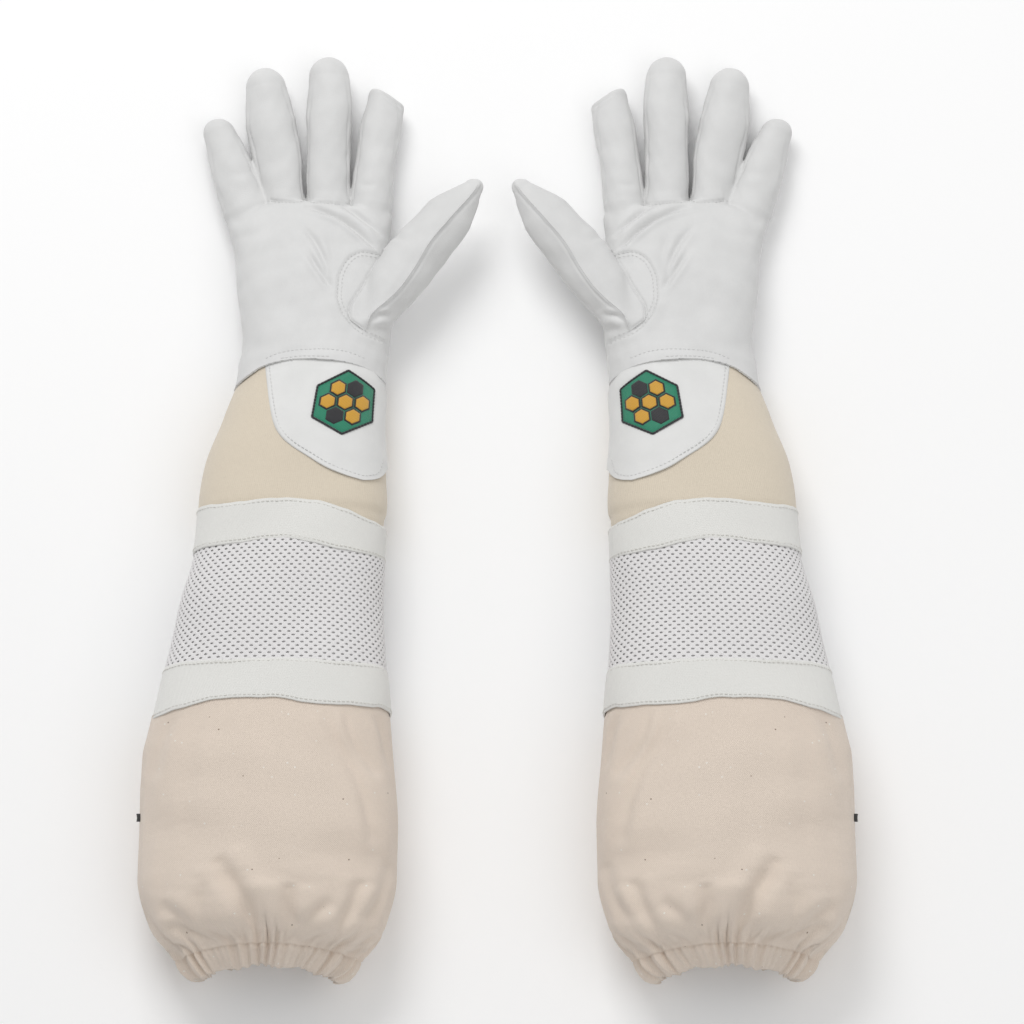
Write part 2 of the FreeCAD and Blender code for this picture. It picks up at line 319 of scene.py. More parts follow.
def place(piece, name, side, look, thickness=0.0):
    """Makes the Blender object of a piece on one side, in metres."""
    sign = 1.0 if side == "right" else -1.0
    points = (piece.points + (-GLOVE_X, 0, 0)) * (sign * MM, MM, MM)
    faces = piece.faces if side == "right" else flipped(piece.faces)
    mesh = bpy.data.meshes.new(f"{side}_{name}")
    mesh.from_pydata(points.tolist(), [], faces)
    mesh.update()
    data = mesh.attributes.new("cloth", "FLOAT_VECTOR", "POINT").data
    data.foreach_set("vector", (piece.cloth * MM).astype(np.float32).ravel())
    mesh.polygons.foreach_set("use_smooth", [True] * len(mesh.polygons))
    mesh.materials.append(look)
    if thickness:
        crisp_rim(mesh)
    elif piece.normals is not None:
        mesh.normals_split_custom_set_from_vertices((piece.normals * (sign, 1, 1)).tolist())
    obj = bpy.data.objects.new(f"{side}_{name}", mesh)
    bpy.context.collection.objects.link(obj)
    if thickness:
        solid = obj.modifiers.new("thickness", "SOLIDIFY")
        solid.thickness = thickness * MM
        solid.offset = -1.0
    return obj


def across_wrist(obj):
    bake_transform(obj)


# ---------------------------------------------------------------- materials
def material(name, build):
    mat = bpy.data.materials.new(name)
    mat.use_nodes = True
    tree = mat.node_tree
    tree.nodes.clear()
    out = tree.nodes.new("ShaderNodeOutputMaterial")
    shader = tree.nodes.new("ShaderNodeBsdfPrincipled")
    tree.links.new(shader.outputs[0], out.inputs[0])
    build(tree, shader)
    return mat


def set_inputs(shader, values):
    for key, value in values.items():
        shader.inputs[key].default_value = value


def node(tree, kind, values=None, links=None, **settings):
    """A node with its settings, its inputs' values and the outputs that feed its inputs."""
    made = tree.nodes.new(kind)
    for key, value in settings.items():
        setattr(made, key, value)
    set_inputs(made, values or {})
    for key, output in (links or {}).items():
        tree.links.new(output, made.inputs[key])
    return made


def maths(tree, operation, a, b=0.0, c=0.0):
    """A maths node over numbers or outputs; gives its output."""
    made = tree.nodes.new("ShaderNodeMath")
    made.operation = operation
    for socket, value in zip(made.inputs, (a, b, c)):
        if isinstance(value, (int, float)):
            socket.default_value = value
        else:
            tree.links.new(value, socket)
    return made.outputs[0]


def ramp(tree, fac, stops):
    made = node(tree, "ShaderNodeValToRGB", links={0: fac})
    while len(made.color_ramp.elements) < len(stops):
        made.color_ramp.elements.new(0.5)
    for element, (position, value) in zip(made.color_ramp.elements, stops):
        element.position = position
        element.color = (value, value, value, 1) if isinstance(value, (int, float)) else (*value, 1)
    return made.outputs[0]


def mix(tree, fac, a, b):
    made = node(tree, "ShaderNodeMix", data_type="RGBA")
    for socket, value in ((made.inputs[0], fac), (made.inputs[6], a), (made.inputs[7], b)):
        if isinstance(value, (int, float)):
            socket.default_value = value
        elif isinstance(value, tuple):
            socket.default_value = (*value, 1)
        else:
            tree.links.new(value, socket)
    return made.outputs[2]


def noise(tree, place_output, scale, detail=3.0, roughness=0.5):
    return node(tree, "ShaderNodeTexNoise", {"Scale": scale, "Detail": detail, "Roughness": roughness},
                {"Vector": place_output}).outputs[0]


def voronoi(tree, where, scale):
    return node(tree, "ShaderNodeTexVoronoi", {"Scale": scale}, {"Vector": where}, feature="F1")


def shaded(colour, share):
    return tuple(c * share for c in colour)


def cloth_place(tree):
    return node(tree, "ShaderNodeAttribute", attribute_name="cloth").outputs["Vector"]


def bump(tree, shader, height, distance, strength):
    made = node(tree, "ShaderNodeBump", {"Distance": distance, "Strength": strength}, {"Height": height})
    tree.links.new(made.outputs[0], shader.inputs["Normal"])


def leather(colour, grain=1.0):
    def build(tree, shader):
        where = cloth_place(tree)
        cells = voronoi(tree, where, 1500.0).outputs[0]
        fine = noise(tree, where, 2600.0, 2.0)
        broad = noise(tree, where, 45.0, 4.0, 0.6)
        height = maths(tree, "MULTIPLY_ADD", cells, 0.5, maths(tree, "MULTIPLY", fine, 0.35))
        height = maths(tree, "MULTIPLY_ADD", broad, 1.2, height)
        bump(tree, shader, height, 0.00018 * grain, 0.55)
        tone = mix(tree, ramp(tree, broad, [(0.3, 0.0), (0.7, 1.0)]), shaded(colour, 0.93), colour)
        tree.links.new(tone, shader.inputs["Base Color"])
        tree.links.new(ramp(tree, fine, [(0.2, 0.52), (0.8, 0.66)]), shader.inputs["Roughness"])
        set_inputs(shader, {"Specular IOR Level": 0.35, "Sheen Weight": 0.12, "Sheen Roughness": 0.5})
    return build


def threads(tree, where, pitch_x, pitch_y, slant):
    """The height of crossed threads, 0 to 1, with the given pitches in metres. slant shifts each row, as
    in twill."""
    parts = node(tree, "ShaderNodeSeparateXYZ", links={0: where})
    x, y = parts.outputs[0], parts.outputs[1]
    x = maths(tree, "MULTIPLY_ADD", y, slant, x)
    across = maths(tree, "SINE", maths(tree, "MULTIPLY", x, 2 * math.pi / pitch_x))
    along = maths(tree, "SINE", maths(tree, "MULTIPLY", y, 2 * math.pi / pitch_y))
    return maths(tree, "MULTIPLY_ADD", maths(tree, "MULTIPLY", across, along), 0.5, 0.5)


def yarn_noise(tree, where, scale):
    """Unevenness drawn out along one way of the threads."""
    drawn = node(tree, "ShaderNodeMapping", {"Scale": scale}, {"Vector": where})
    return noise(tree, drawn.outputs[0], 1.0, 2.0)


def sprinkle(tree, where, tone, colour, scale, stops, channel, share):
    """The tone with small spots of colour, in the cells whose own random number is over share."""
    cells = voronoi(tree, where, scale)
    spot = ramp(tree, cells.outputs[0], stops)
    chance = node(tree, "ShaderNodeSeparateXYZ", links={0: cells.outputs["Color"]}).outputs[channel]
    chosen = maths(tree, "GREATER_THAN", chance, share)
    return mix(tree, maths(tree, "MULTIPLY", spot, chosen), tone, colour)


SLUB, HUSK = (0.90, 0.86, 0.79), (0.20, 0.13, 0.09)


def woven(colour, pitch, slant=0.0, dark=0.86, depth=0.0002, flecks=False, rib=None):
    """A woven cloth: crossed threads, uneven yarn, and with flecks the husks and slubs of raw cotton."""
    def build(tree, shader):
        where = cloth_place(tree)
        weave = threads(tree, where, pitch, pitch if rib is None else rib, slant)
        yarn = yarn_noise(tree, where, (1400.0, 260.0, 1.0))
        weft = yarn_noise(tree, where, (240.0, 1500.0, 1.0))
        broad = noise(tree, where, 30.0, 3.0)
        uneven = maths(tree, "ADD", maths(tree, "MULTIPLY", yarn, 0.5), maths(tree, "MULTIPLY", weft, 0.5))
        bump(tree, shader, maths(tree, "MULTIPLY_ADD", uneven, 0.9, weave), depth, 0.8)
        fac = maths(tree, "MULTIPLY_ADD", weave, 0.35, maths(tree, "MULTIPLY", uneven, 0.65))
        tone = mix(tree, ramp(tree, fac, [(0.25, 0.0), (0.62, 1.0)]), shaded(colour, dark), colour)
        tone = mix(tree, ramp(tree, broad, [(0.35, 0.0), (0.7, 0.25)]), tone, shaded(colour, 0.93))
        if flecks:
            tone = sprinkle(tree, where, tone, SLUB, 210.0, [(0.0, 1.0), (0.11, 0.8), (0.16, 0.0)], 0, 0.86)
            tone = sprinkle(tree, where, tone, HUSK, 120.0, [(0.0, 1.0), (0.05, 0.9), (0.075, 0.0)], 1, 0.80)
        tree.links.new(tone, shader.inputs["Base Color"])
        set_inputs(shader, {"Roughness": 0.9, "Specular IOR Level": 0.15, "Sheen Weight": 0.3,
                            "Sheen Roughness": 0.6})
    return build


def strands(colour, wave, depth, strength, dark, surface):
    """Close parallel strands: twisted thread, or the stitches of embroidery."""
    def build(tree, shader):
        lay = node(tree, "ShaderNodeTexWave", wave, {"Vector": cloth_place(tree)},
                   bands_direction="DIAGONAL").outputs[1]
        bump(tree, shader, lay, depth, strength)
        tree.links.new(mix(tree, lay, shaded(colour, dark), colour), shader.inputs["Base Color"])
        set_inputs(shader, surface)
    return build


def thread(colour):
    return strands(colour, {"Scale": 900.0, "Distortion": 0.5}, 0.00012, 0.7, 0.82,
                   {"Roughness": 0.6, "Sheen Weight": 0.2})


def satin(colour):
    """Embroidery thread, which catches the light."""
    return strands(colour, {"Scale": 700.0, "Distortion": 1.5, "Detail": 2.0}, 0.00025, 0.8, 0.6,
                   {"Roughness": 0.42, "Anisotropic": 0.4, "Sheen Weight": 0.25})


def floor_look(tree, shader):
    where = node(tree, "ShaderNodeTexCoord").outputs["Object"]
    tone = mix(tree, noise(tree, where, 3.0, 2.0), (0.975, 0.975, 0.975), (0.985, 0.985, 0.985))
    tree.links.new(tone, shader.inputs["Base Color"])
    shader.inputs["Roughness"].default_value = 0.9


GOATSKIN = material("goatskin", leather((0.70, 0.70, 0.695)))
PATCH_SKIN = material("patch_goatskin", leather((0.755, 0.755, 0.745), 0.6))
TWILL = material("twill", woven((0.74, 0.655, 0.53), 0.0011, slant=0.9, dark=0.90))
TAPE = material("tape", woven((0.79, 0.785, 0.755), 0.0009, rib=0.0022, dark=0.94))
CANVAS = material("canvas", woven((0.83, 0.715, 0.61), 0.0012, dark=0.86, flecks=True, depth=0.0003))
# the core is painted paler than the knit over it: painted light that offsets the shade falling inside the
# net's holes
CORE = material("spacer_core", woven((0.93, 0.915, 0.915), 0.0016, dark=0.85, depth=0.0003))
NET = material("mesh_knit", woven((0.84, 0.825, 0.825), 0.0007, dark=0.9, depth=0.00015))
WHITE_THREAD = material("white_thread", thread((0.74, 0.74, 0.73)))
CREAM_THREAD = material("cream_thread", thread((0.80, 0.785, 0.74)))
ELASTIC = material("elastic_braid", woven((0.80, 0.80, 0.72), 0.0016, rib=0.0030, dark=0.8))
GREEN = material("embroidery_green", satin((0.02, 0.30, 0.17)))
GOLD = material("embroidery_gold", satin((0.85, 0.45, 0.04)))
INK = material("embroidery_dark", satin((0.02, 0.02, 0.025)))
LABEL = material("label_tab", woven((0.05, 0.05, 0.05), 0.0006))


# ---------------------------------------------------------------- the leather hand
GRID_STEP = 0.85
GRID_LOW, GRID_HIGH = np.array((-82.0, 62.0, -6.0)), np.array((116.0, 296.0, 62.0))
# (x, y) of the line over which the fingers leave the palm
KNUCKLES = np.array([(-60, 184), (-44, 188), (-29, 193), (-17, 198), (-3.5, 195.5), (9, 197), (22.5, 192),
                     (35.5, 194), (52, 188)])
KNUCKLE_LAP, KNUCKLE_ROUND = 1.5, 5.0
SKIN_GAP = 0.1                 # how far the leather stands off the form
WRIST_FLARE = 1.3              # how much further it stands off where it laps over the cuff


def palm_distance(x, y, z):
    rows = {i: monotone(FORM[:, 0], FORM[:, i], np.minimum(y[0, :, 0], FORM[-1, 0])) for i in range(1, 5)}
    middle, half, height, low = (rows[i][None, :, None] for i in range(1, 5))
    flare = SKIN_GAP + WRIST_FLARE * smoothstep(104, 92, y) * (0.55 + 0.45 * smoothstep(-44, -28, x))
    half, height = half + flare, height + flare
    a, b = np.abs(x - middle) / half, np.abs(z - low - height / 2) / (height / 2)
    p = SQUARENESS
    f = (a**p + b**p + 1e-9) ** (1 / p)
    slope = f ** (1 - p) * np.sqrt((a ** (p - 1) / half) ** 2 + (b ** (p - 1) / (height / 2)) ** 2)
    side = (f - 1) / np.maximum(slope, 1 / half)
    knuckles = np.interp(x[:, 0, 0], *KNUCKLES.T)
    return soft_max(side, y - knuckles[:, None, None] - KNUCKLE_LAP, KNUCKLE_ROUND)


def limb_distance(x, y, z, base, tip, stations, lift=None, bow=None, power=2.0):
    """The distance to a tapered limb from base to tip. stations are (share, half width, height), lift
    and bow move its middle up and across at those shares, and a power under 2 gives it a ridge."""
    axis = tip - base
    length = np.linalg.norm(axis)
    axis = axis / length
    side = np.array((axis[1], -axis[0], 0.0)) / math.hypot(axis[0], axis[1])
    up = np.cross(side, axis)
    rel = [x - base[0], y - base[1], z - base[2]]
    along, across, above = (sum(r * a for r, a in zip(rel, v)) for v in (axis, side, up))
    shares = [s for s, _, _ in stations]
    end = stations[-1][1]
    t = np.clip(along, stations[0][0] * length, length - end)
    half = np.interp(t / length, shares, [w for _, w, _ in stations])
    tall = np.interp(t / length, shares, [h for _, _, h in stations]) / 2
    if lift is not None:
        above = above - np.interp(t / length, shares, lift)
    if bow is not None:
        across = across - np.interp(t / length, shares, bow)
    section = (np.abs(across) ** power + np.abs(above * half / tall) ** power + 1e-9) ** (1 / power)
    return (np.sqrt(section**2 + (along - t) ** 2) - half) * np.minimum(1, tall / half)


# the index finger's tip is folded flat, with a corner on the thumb's side
INDEX_CORNER = (np.array((44.0, 236.0, 12.0)), np.array((50.5, 264.0, 10.5)),
                [(0, 7.0, 18.0), (0.6, 6.5, 17.0), (1.0, 5.0, 14.0)])
INDEX_TIP_CUT, INDEX_TIP_WAY = (48.7, 263.4), (0.52, 0.854)
INDEX_SIDE = 30.0              # the cut reaches no further across than this
FINGER_ROUND, THUMB_ROUND, CORNER_ROUND, CUT_ROUND, FLOOR_ROUND = 1.4, 5.0, 3.0, 2.4, 2.5
THUMB_RIDGE = 1.75             # exponent of the thumb's section, which is ridged along its seam
TIP_SHRINK, ROOT_SHRINK = (0.86, 0.8), 0.8
LOW_SIDE = 0.15                # share of a finger's thinning that is taken from its lower side


def finger_axis(splay):
    """The ways along and across a finger."""
    a = math.radians(splay)
    return np.array((-math.sin(a), math.cos(a))), np.array((math.cos(a), math.sin(a)))


def hand_field():
    axes = [np.arange(lo, hi, GRID_STEP) for lo, hi in zip(GRID_LOW, GRID_HIGH)]
    x, y, z = np.meshgrid(*axes, indexing="ij")
    # the gentle unevenness of a hand-cut glove
    xw = x + 0.8 * waves(x, y, z, 38.0, 11)
    zw = z + 0.6 * waves(x, y, z, 30.0, 12)
    field = palm_distance(xw, y, zw)
    for base, splay, length, stations in FINGERS.values():
        forward, _ = finger_axis(splay)
        tall = stations[0][2]
        start = np.array((*base, FINGER_REST + tall / 2))
        _, end_half, end_tall = stations[-1]
        rows = [(-0.3, stations[0][1] * ROOT_SHRINK, tall * ROOT_SHRINK), *stations,
                (1.0, end_half * TIP_SHRINK[0], end_tall * TIP_SHRINK[1])]
        tip = start + np.array((*forward, 0.0)) * length
        lift = [-(tall - h) * LOW_SIDE for _, _, h in rows]
        field = soft_min(field, limb_distance(xw, y, zw, start, tip, rows, lift), FINGER_ROUND)
    field = soft_min(field, limb_distance(xw, y, zw, *INDEX_CORNER), CORNER_ROUND)
    beyond = (x - INDEX_TIP_CUT[0]) * INDEX_TIP_WAY[0] + (y - INDEX_TIP_CUT[1]) * INDEX_TIP_WAY[1]
    field = np.where(x > INDEX_SIDE, soft_max(field, beyond, CUT_ROUND), field)
    thumb = limb_distance(xw, y, zw, THUMB_BASE, THUMB_TIP, THUMB_STATIONS, bow=THUMB_BOW, power=THUMB_RIDGE)
    field = soft_min(field, thumb, THUMB_ROUND)
    field = soft_max(field, 0.5 - z, FLOOR_ROUND)
    return field.astype(np.float32)


def hand_surface():
    """The hand's outside as one even skin of quads."""
    grid = openvdb.FloatGrid(background=5.0)
    grid.copyFromArray(hand_field())
    points, _, quads = grid.convertToPolygons(isovalue=0.0, adaptivity=0.0)
    points = points * GRID_STEP + GRID_LOW
    first = points[quads[:, 0]]
    volume = (first * np.cross(points[quads[:, 1]], points[quads[:, 2]])).sum()
    return points, quads if volume > 0 else quads[:, ::-1]


def normals_of(points, quads):
    cross = np.cross(points[quads[:, 2]] - points[quads[:, 0]], points[quads[:, 3]] - points[quads[:, 1]])
    total = np.zeros_like(points)
    for k in range(4):
        np.add.at(total, quads[:, k], cross)
    return total / (np.linalg.norm(total, axis=1, keepdims=True) + 1e-12)


# folds on the palm: points, depth, width
PALM_FOLDS = [
    ([(-3, 192.0), (6, 189.0), (15.5, 184.6), (26, 176.4), (39.4, 163.4)], 3.0, 1.6),
    ([(17, 194), (23, 190), (32, 182.5), (41, 175)], 2.2, 1.6),
    ([(-6, 178), (1.6, 168), (8, 153), (10.5, 141)], 1.5, 1.8),
    ([(-2, 160), (5.5, 147), (12, 137)], 1.6, 1.6),
    ([(9, 172), (12, 160), (12.5, 148)], 0.7, 2.2),
    ([(-46, 173.5), (-38, 174), (-29, 178), (-19, 187)], 0.9, 3.6),
    ([(-52, 186), (-44, 184), (-37, 188)], 0.6, 3.0),
    ([(48, 121), (41, 119.5), (36, 116)], 1.4, 1.3),
    ([(41.5, 264.6), (47.5, 261.2), (55.0, 256.4)], 0.8, 0.8),
    ([(27, 208), (33, 206), (39, 207)], 0.5, 2.0),
    ([(-50, 215), (-44, 213), (-38, 216)], 0.4, 2.4),
    ([(50, 113), (43, 112.5), (37, 111)], 0.9, 1.8),
]
GUSSET_LINE = [(40.4, 161.2), (31, 162), (24.7, 159.4), (19.6, 153.5), (15.9, 143), (15.4, 132), (17.6, 123),
               (22.5, 115), (31, 108), (42.6, 105)]
THUMB_INNER_LINE = [(48.5, 171), (40, 157), (31, 139), (23.6, 124.6), (23.2, 118), (28.5, 113),
                    (32.3, 109.8)]
THUMB_SEAM = [(99.5, 201), (96.5, 196.2), (83.6, 180), (70.8, 164), (60.5, 146.5), (53, 136),
              (45, 127.8), (38.8, 122.5), (35, 118), (32.3, 109.6)]
WRIST_ROWS = ([(-26, 92.6), (-19, 95.2), (-9, 97.0), (6, 97.4), (20, 96.2), (31, 93.0)],
              [(-17, 91.8), (-5, 92.9), (10, 92.4)])
LEATHER_EDGE = np.array([(-47, 77.0), (-38, 82.5), (-29, 87.3), (-17, 90.2), (-5, 91.3), (16, 90.0),
                         (34, 86.0), (46, 79.5)])
FINGER_SEAMS = ([(-26.8, 197.4), (-20, 195.8), (-13, 195.4), (-5.2, 196.4)],
                [(-1.4, 195.4), (6, 194.6), (14, 194.3), (21.8, 194.2)])


def ends(along, share):
    """1 over the middle of a seam, fading over a share of its length at both ends."""
    return smoothstep(0.0, share, along) * smoothstep(1.0, 1.0 - share, along)


def sculpt(points, quads):
    """Presses folds and seams into the hand's skin and raises its welts."""
    normals = normals_of(points, quads)
    x, y = points[:, 0], points[:, 1]
    palm_side = smoothstep(0.05, 0.45, normals[:, 2])
    shift = np.zeros(len(points))
    for line, depth, width in PALM_FOLDS:
        near, share = distance_to_path(x, y, line)
        fade = np.sin(math.pi * np.clip(share, 0.02, 0.98)) ** 0.6
        shift += fade * (-depth * dent(near, width)
                         + 0.55 * depth * dent(near + 2.1 * width, 1.2 * width)
                         + 0.35 * depth * dent(near - 2.4 * width, 1.6 * width))
    gusset, _ = distance_to_path(x, y, GUSSET_LINE)
    shift += 0.5 * smoothstep(-0.4, 1.2, -gusset) * smoothstep(8, 2, -gusset)
    shift -= 0.5 * dent(gusset - 0.3, 0.9)
    panel, along = distance_to_path(x, y, THUMB_INNER_LINE)
    shift += ends(along, 0.06) * (1.3 * smoothstep(-0.6, 1.0, panel) * smoothstep(14, 3, panel)
                                  - 0.9 * dent(panel + 0.9, 0.8))
    edge, along = distance_to_path(x, y, THUMB_SEAM)
    shift += smoothstep(1.0, 0.94, along) * (1.7 * np.exp(-np.abs(edge) / 5.0) + 0.4 * dent(edge, 0.9)
                                             - 0.5 * dent(edge - 1.3, 0.7))
    for line in FINGER_SEAMS:
        seam, along = distance_to_path(x, y, line)
        shift += ends(along, 0.08) * (-0.9 * dent(seam, 0.8)
                                      + 0.5 * smoothstep(0.4, 1.4, seam) * smoothstep(9, 3, seam))
    wrist, _ = distance_to_path(x, y, WRIST_ROWS[0])
    shift -= 0.35 * dent(wrist, 2.0)
    shift *= palm_side
    shift += 0.45 * waves(x, y, points[:, 2], 26.0, 21) + 0.2 * waves(x, y, points[:, 2], 10.0, 22)
    shift += side_seams(points)
    moved = points + normals * shift[:, None]
    moved[:, 2] = np.maximum(moved[:, 2], FLOOR_GAP)
    return moved


SEAM_LEVELS = (0.28, 0.72)     # heights of a finger's two side seams, as shares of its own
SEAM_DEPTH, SEAM_WIDTH = 0.45, 0.8
FINGER_REACH = 17.0            # no finger is wider than this on either side of its middle


def side_seams(points):
    """The seams along the fingers' sides, where the strips between front and back are sewn."""
    shift = np.zeros(len(points))
    for base, splay, length, stations in FINGERS.values():
        forward, across = finger_axis(splay)
        rel = points[:, :2] - np.array(base)
        along, side = rel @ forward, rel @ across
        inside = (along > 2) & (along < 0.9 * length) & (np.abs(side) < FINGER_REACH)
        shares, halves, _ = zip(*stations)
        outer = smoothstep(0.72, 0.9, np.abs(side) / np.interp(along / length, shares, halves))
        for level in SEAM_LEVELS:
            height = FINGER_REST + stations[0][2] * level
            shift -= inside * outer * SEAM_DEPTH * dent(points[:, 2] - height, SEAM_WIDTH)
    return shift


THUMB_FROM, THUMB_CROTCH = 100.0, 172.0    # where the thumb's root starts and ends along the glove
CROTCH_STEP = 4.5              # how much further out the thumb starts past its crotch


def limb_of(points):
    """The name of the limb that each point belongs to: a finger, the thumb or the hand."""
    names = np.full(len(points), "hand", dtype=object)
    x, y = points[:, 0], points[:, 1]
    root = np.where(y < THUMB_CROTCH, THUMB_ROOT[0], THUMB_ROOT[0] + CROTCH_STEP)
    names[(x > root) & (y > THUMB_FROM)] = "thumb"
    for name, (base, splay, _, _) in FINGERS.items():
        forward, across = finger_axis(splay)
        rel = points[:, :2] - np.array(base)
        names[(rel @ forward > 0) & (np.abs(rel @ across) < FINGER_REACH + 1) & (names != "thumb")] = name
    return names


def leather_edge(x):
    """How far down the glove the hand's leather reaches: lower at the sides than over the palm."""
    return monotone(*LEATHER_EDGE.T, np.clip(x, LEATHER_EDGE[0, 0], LEATHER_EDGE[-1, 0]))


LINING_FIT = 0.76              # the lining's size beside the skin's
LINING_SHARES = np.linspace(-0.02, 0.78, 16)
LINING_SIDES = 28


def lining(name):
    """A finger's inside: a lining tube that closes the finger's root."""
    base, splay, length, stations = FINGERS[name]
    forward, across = finger_axis(splay)
    shares, halves, heights = zip(*stations)
    points, normals = [], []
    for share in LINING_SHARES:
        half = np.interp(share, shares, halves) * LINING_FIT
        tall = np.interp(share, shares, heights) / 2
        middle = np.array((*base, FINGER_REST + heights[0] / 2 - 2 * LOW_SIDE * (heights[0] / 2 - tall)))
        middle[:2] += forward * share * length
        for a in np.arange(LINING_SIDES) / LINING_SIDES * 2 * math.pi:
            out = np.array((*(across * math.cos(a)), math.sin(a)))
            points.append(middle + out * (half, half, tall * LINING_FIT))
            normals.append(out)
    faces = flipped(grid_faces(len(LINING_SHARES), LINING_SIDES, True))
    return Piece(points, faces, normals=np.array(normals))


def split_hand():
    """The hand's skin as one piece per limb, and the whole skin to project stitches on."""
    points, quads = hand_surface()
    points = sculpt(points, quads)
    centre = points[quads].mean(axis=1)
    keep = points[quads, 1].max(axis=1) > leather_edge(centre[:, 0]) + 0.3
    points[:, 1] = np.maximum(points[:, 1], leather_edge(points[:, 0]))
    limbs = limb_of(centre)
    normals = normals_of(points, quads)
    pieces = {}
    for name in ("hand", "thumb", *FINGERS):
        chosen = quads[keep & (limbs == name)]
        used, faces = np.unique(chosen, return_inverse=True)
        pieces[name] = Piece(points[used], faces.reshape(-1, 4).tolist(), normals=normals[used])
        if name in FINGERS:
            inside = lining(name)
            pieces[name] = join([pieces[name], inside])
            pieces[name].normals = np.concatenate([normals[used], inside.normals])
    return pieces, BVHTree.FromPolygons(points.tolist(), quads.tolist())


# ---------------------------------------------------------------- stitches
def capped_tube(rows, sides):
    """The faces of a closed tube with flat ends."""
    last = rows * sides
    return [*flipped(grid_faces(rows, sides, True)), tuple(range(sides)),
            tuple(range(last - 1, last - sides - 1, -1))]


STITCH_SIDES, WELT_SIDES = 6, 8
OVER_HAND = 90.0               # a height above every part of the hand
STITCH_RINGS = ((-1.0, 0.25), (-0.75, 0.8), (0.0, 1.0), (0.75, 0.8), (1.0, 0.25))


def stitch(centre, along, normal, length, radius):
    """One stitch: a short plump bead of thread lying along a seam, half sunk in."""
    along = along / np.linalg.norm(along)
    side = np.cross(normal, along)
    side /= np.linalg.norm(side)
    up = np.cross(along, side)
    points = []
    for place_along, swell in STITCH_RINGS:
        for k in range(STITCH_SIDES):
            a = 2 * math.pi * k / STITCH_SIDES
            points.append(centre + along * (place_along * length / 2)
                          + (side * math.cos(a) + up * (math.sin(a) * 0.8 - 0.1)) * radius * swell
                          - up * (0.35 * radius * place_along**2))
    return Piece(points, capped_tube(len(STITCH_RINGS), STITCH_SIDES))


def drop(tree, x, y):
    """The place and upward normal on the hand's palm side at (x, y), or None twice beside the hand."""
    point, normal, _, _ = tree.ray_cast(Vector((x, y, OVER_HAND)), Vector((0, 0, -1)))
    if point is None:
        return None, None
    normal = np.array(normal)
    return np.array(point), normal if normal[2] > 0 else -normal


STITCH_RISE = 0.1              # how far the middle of a stitch stands off the leather


def hand_stitches(tree, line, pitch=2.6, length=1.9, radius=0.33):
    places, ways = path_frames(line, pitch)
    beads = []
    for (x, y), way in zip(places, ways):
        point, normal = drop(tree, x, y)
        if point is not None:
            beads.append(stitch(point + normal * STITCH_RISE, np.array((*way, 0.0)), normal, length, radius))
    return beads


def welt(tree, line, radius):
    """The thin turned edge of leather that stands up along a seam."""
    places, ways = path_frames(line, 1.2)
    points = []
    for k, ((x, y), way) in enumerate(zip(places, ways)):
        point, normal = drop(tree, x, y)
        if point is None:
            continue
        side = np.cross(np.array((*way, 0.0)) / np.linalg.norm(way), normal)
        size = radius * min(1.0, 0.3 + 0.25 * min(k, len(places) - 1 - k))
        for turn in np.arange(WELT_SIDES) * 2 * math.pi / WELT_SIDES:
            points.append(point + size * (side * math.cos(turn) + normal * (0.2 + math.sin(turn))))
    return Piece(points, capped_tube(len(points) // WELT_SIDES, WELT_SIDES))


def offset_line(line, by, spacing=4.0):
    """The places of a second line beside the first, on its right."""
    places, ways = path_frames(line, spacing)
    ways = ways / np.linalg.norm(ways, axis=1, keepdims=True)
    return places + np.stack([ways[:, 1], -ways[:, 0]], 1) * by


def form_stitches(us, ys, lift, pitch=2.8, length=2.0, radius=0.32):
    """Stitches along a line on the form, given by shares round it and places along it."""
    line = on_form(np.asarray(us), np.asarray(ys), lift)
    places, ways = path_frames(line, pitch)
    middle = np.array((np.interp(places[:, 1], FORM[:, 0], FORM[:, 1]), places[:, 1],
                       np.interp(places[:, 1], FORM[:, 0], FORM[:, 4] + FORM[:, 3] / 2))).T
    normals = places - middle
    normals /= np.linalg.norm(normals, axis=1, keepdims=True)
    return [stitch(p, w, n, length, radius) for p, w, n in zip(places, ways, normals)]


def ring_stitches(y, lift, edge=None, **sizes):
    u = np.linspace(0, 1, 121)
    ys = np.full_like(u, y) if edge is None else y + edge(u, y)
    return form_stitches(u, ys, lift, **sizes)


# ---------------------------------------------------------------- the sleeve's pieces
COLUMNS = 180


def edge_curve(y, places):
    """How far a tape's edge at y strays along the glove: by the shifts at places on the palm side, and
    smoothly round the back."""
    us = [share_at(x, y) for x, _ in places]
    vs = [v for _, v in places]
    return lambda u: monotone([us[-1] - 1, *us, us[0] + 1], [vs[-1], *vs, vs[0]], np.mod(u, 1.0))


# each tape's lower and upper edge: (x, shift along the glove) over the palm side
UPPER_TAPE_EDGES = ([(-66, 0.0), (-48, 0.2), (-18, 2.8), (22, -3.6), (40, -4.6)],
                    [(-67, 1.6), (-48, -0.2), (-16, 2.0), (4, 0.6), (22, -4.2), (36, -9.0),
                     (43, -10.4)])
LOWER_TAPE_EDGES = ([(-88, -3.2), (-74, -0.8), (-48, 3.8), (-20, 4.0), (6, 0.4), (37, 1.0), (42, 2.0)],
                    [(-80, 0.5), (-50, -0.6), (-20, 0.2), (22, -1.1), (40, -0.3)])


BAND_LIFT = 0.6
# a tape's outermost rows: (distance in from its edge, share of its lift), which turn the edge under
TURNED_EDGE = [(0.0, -0.6), (0.0, 0.45), (0.6, 0.9)]


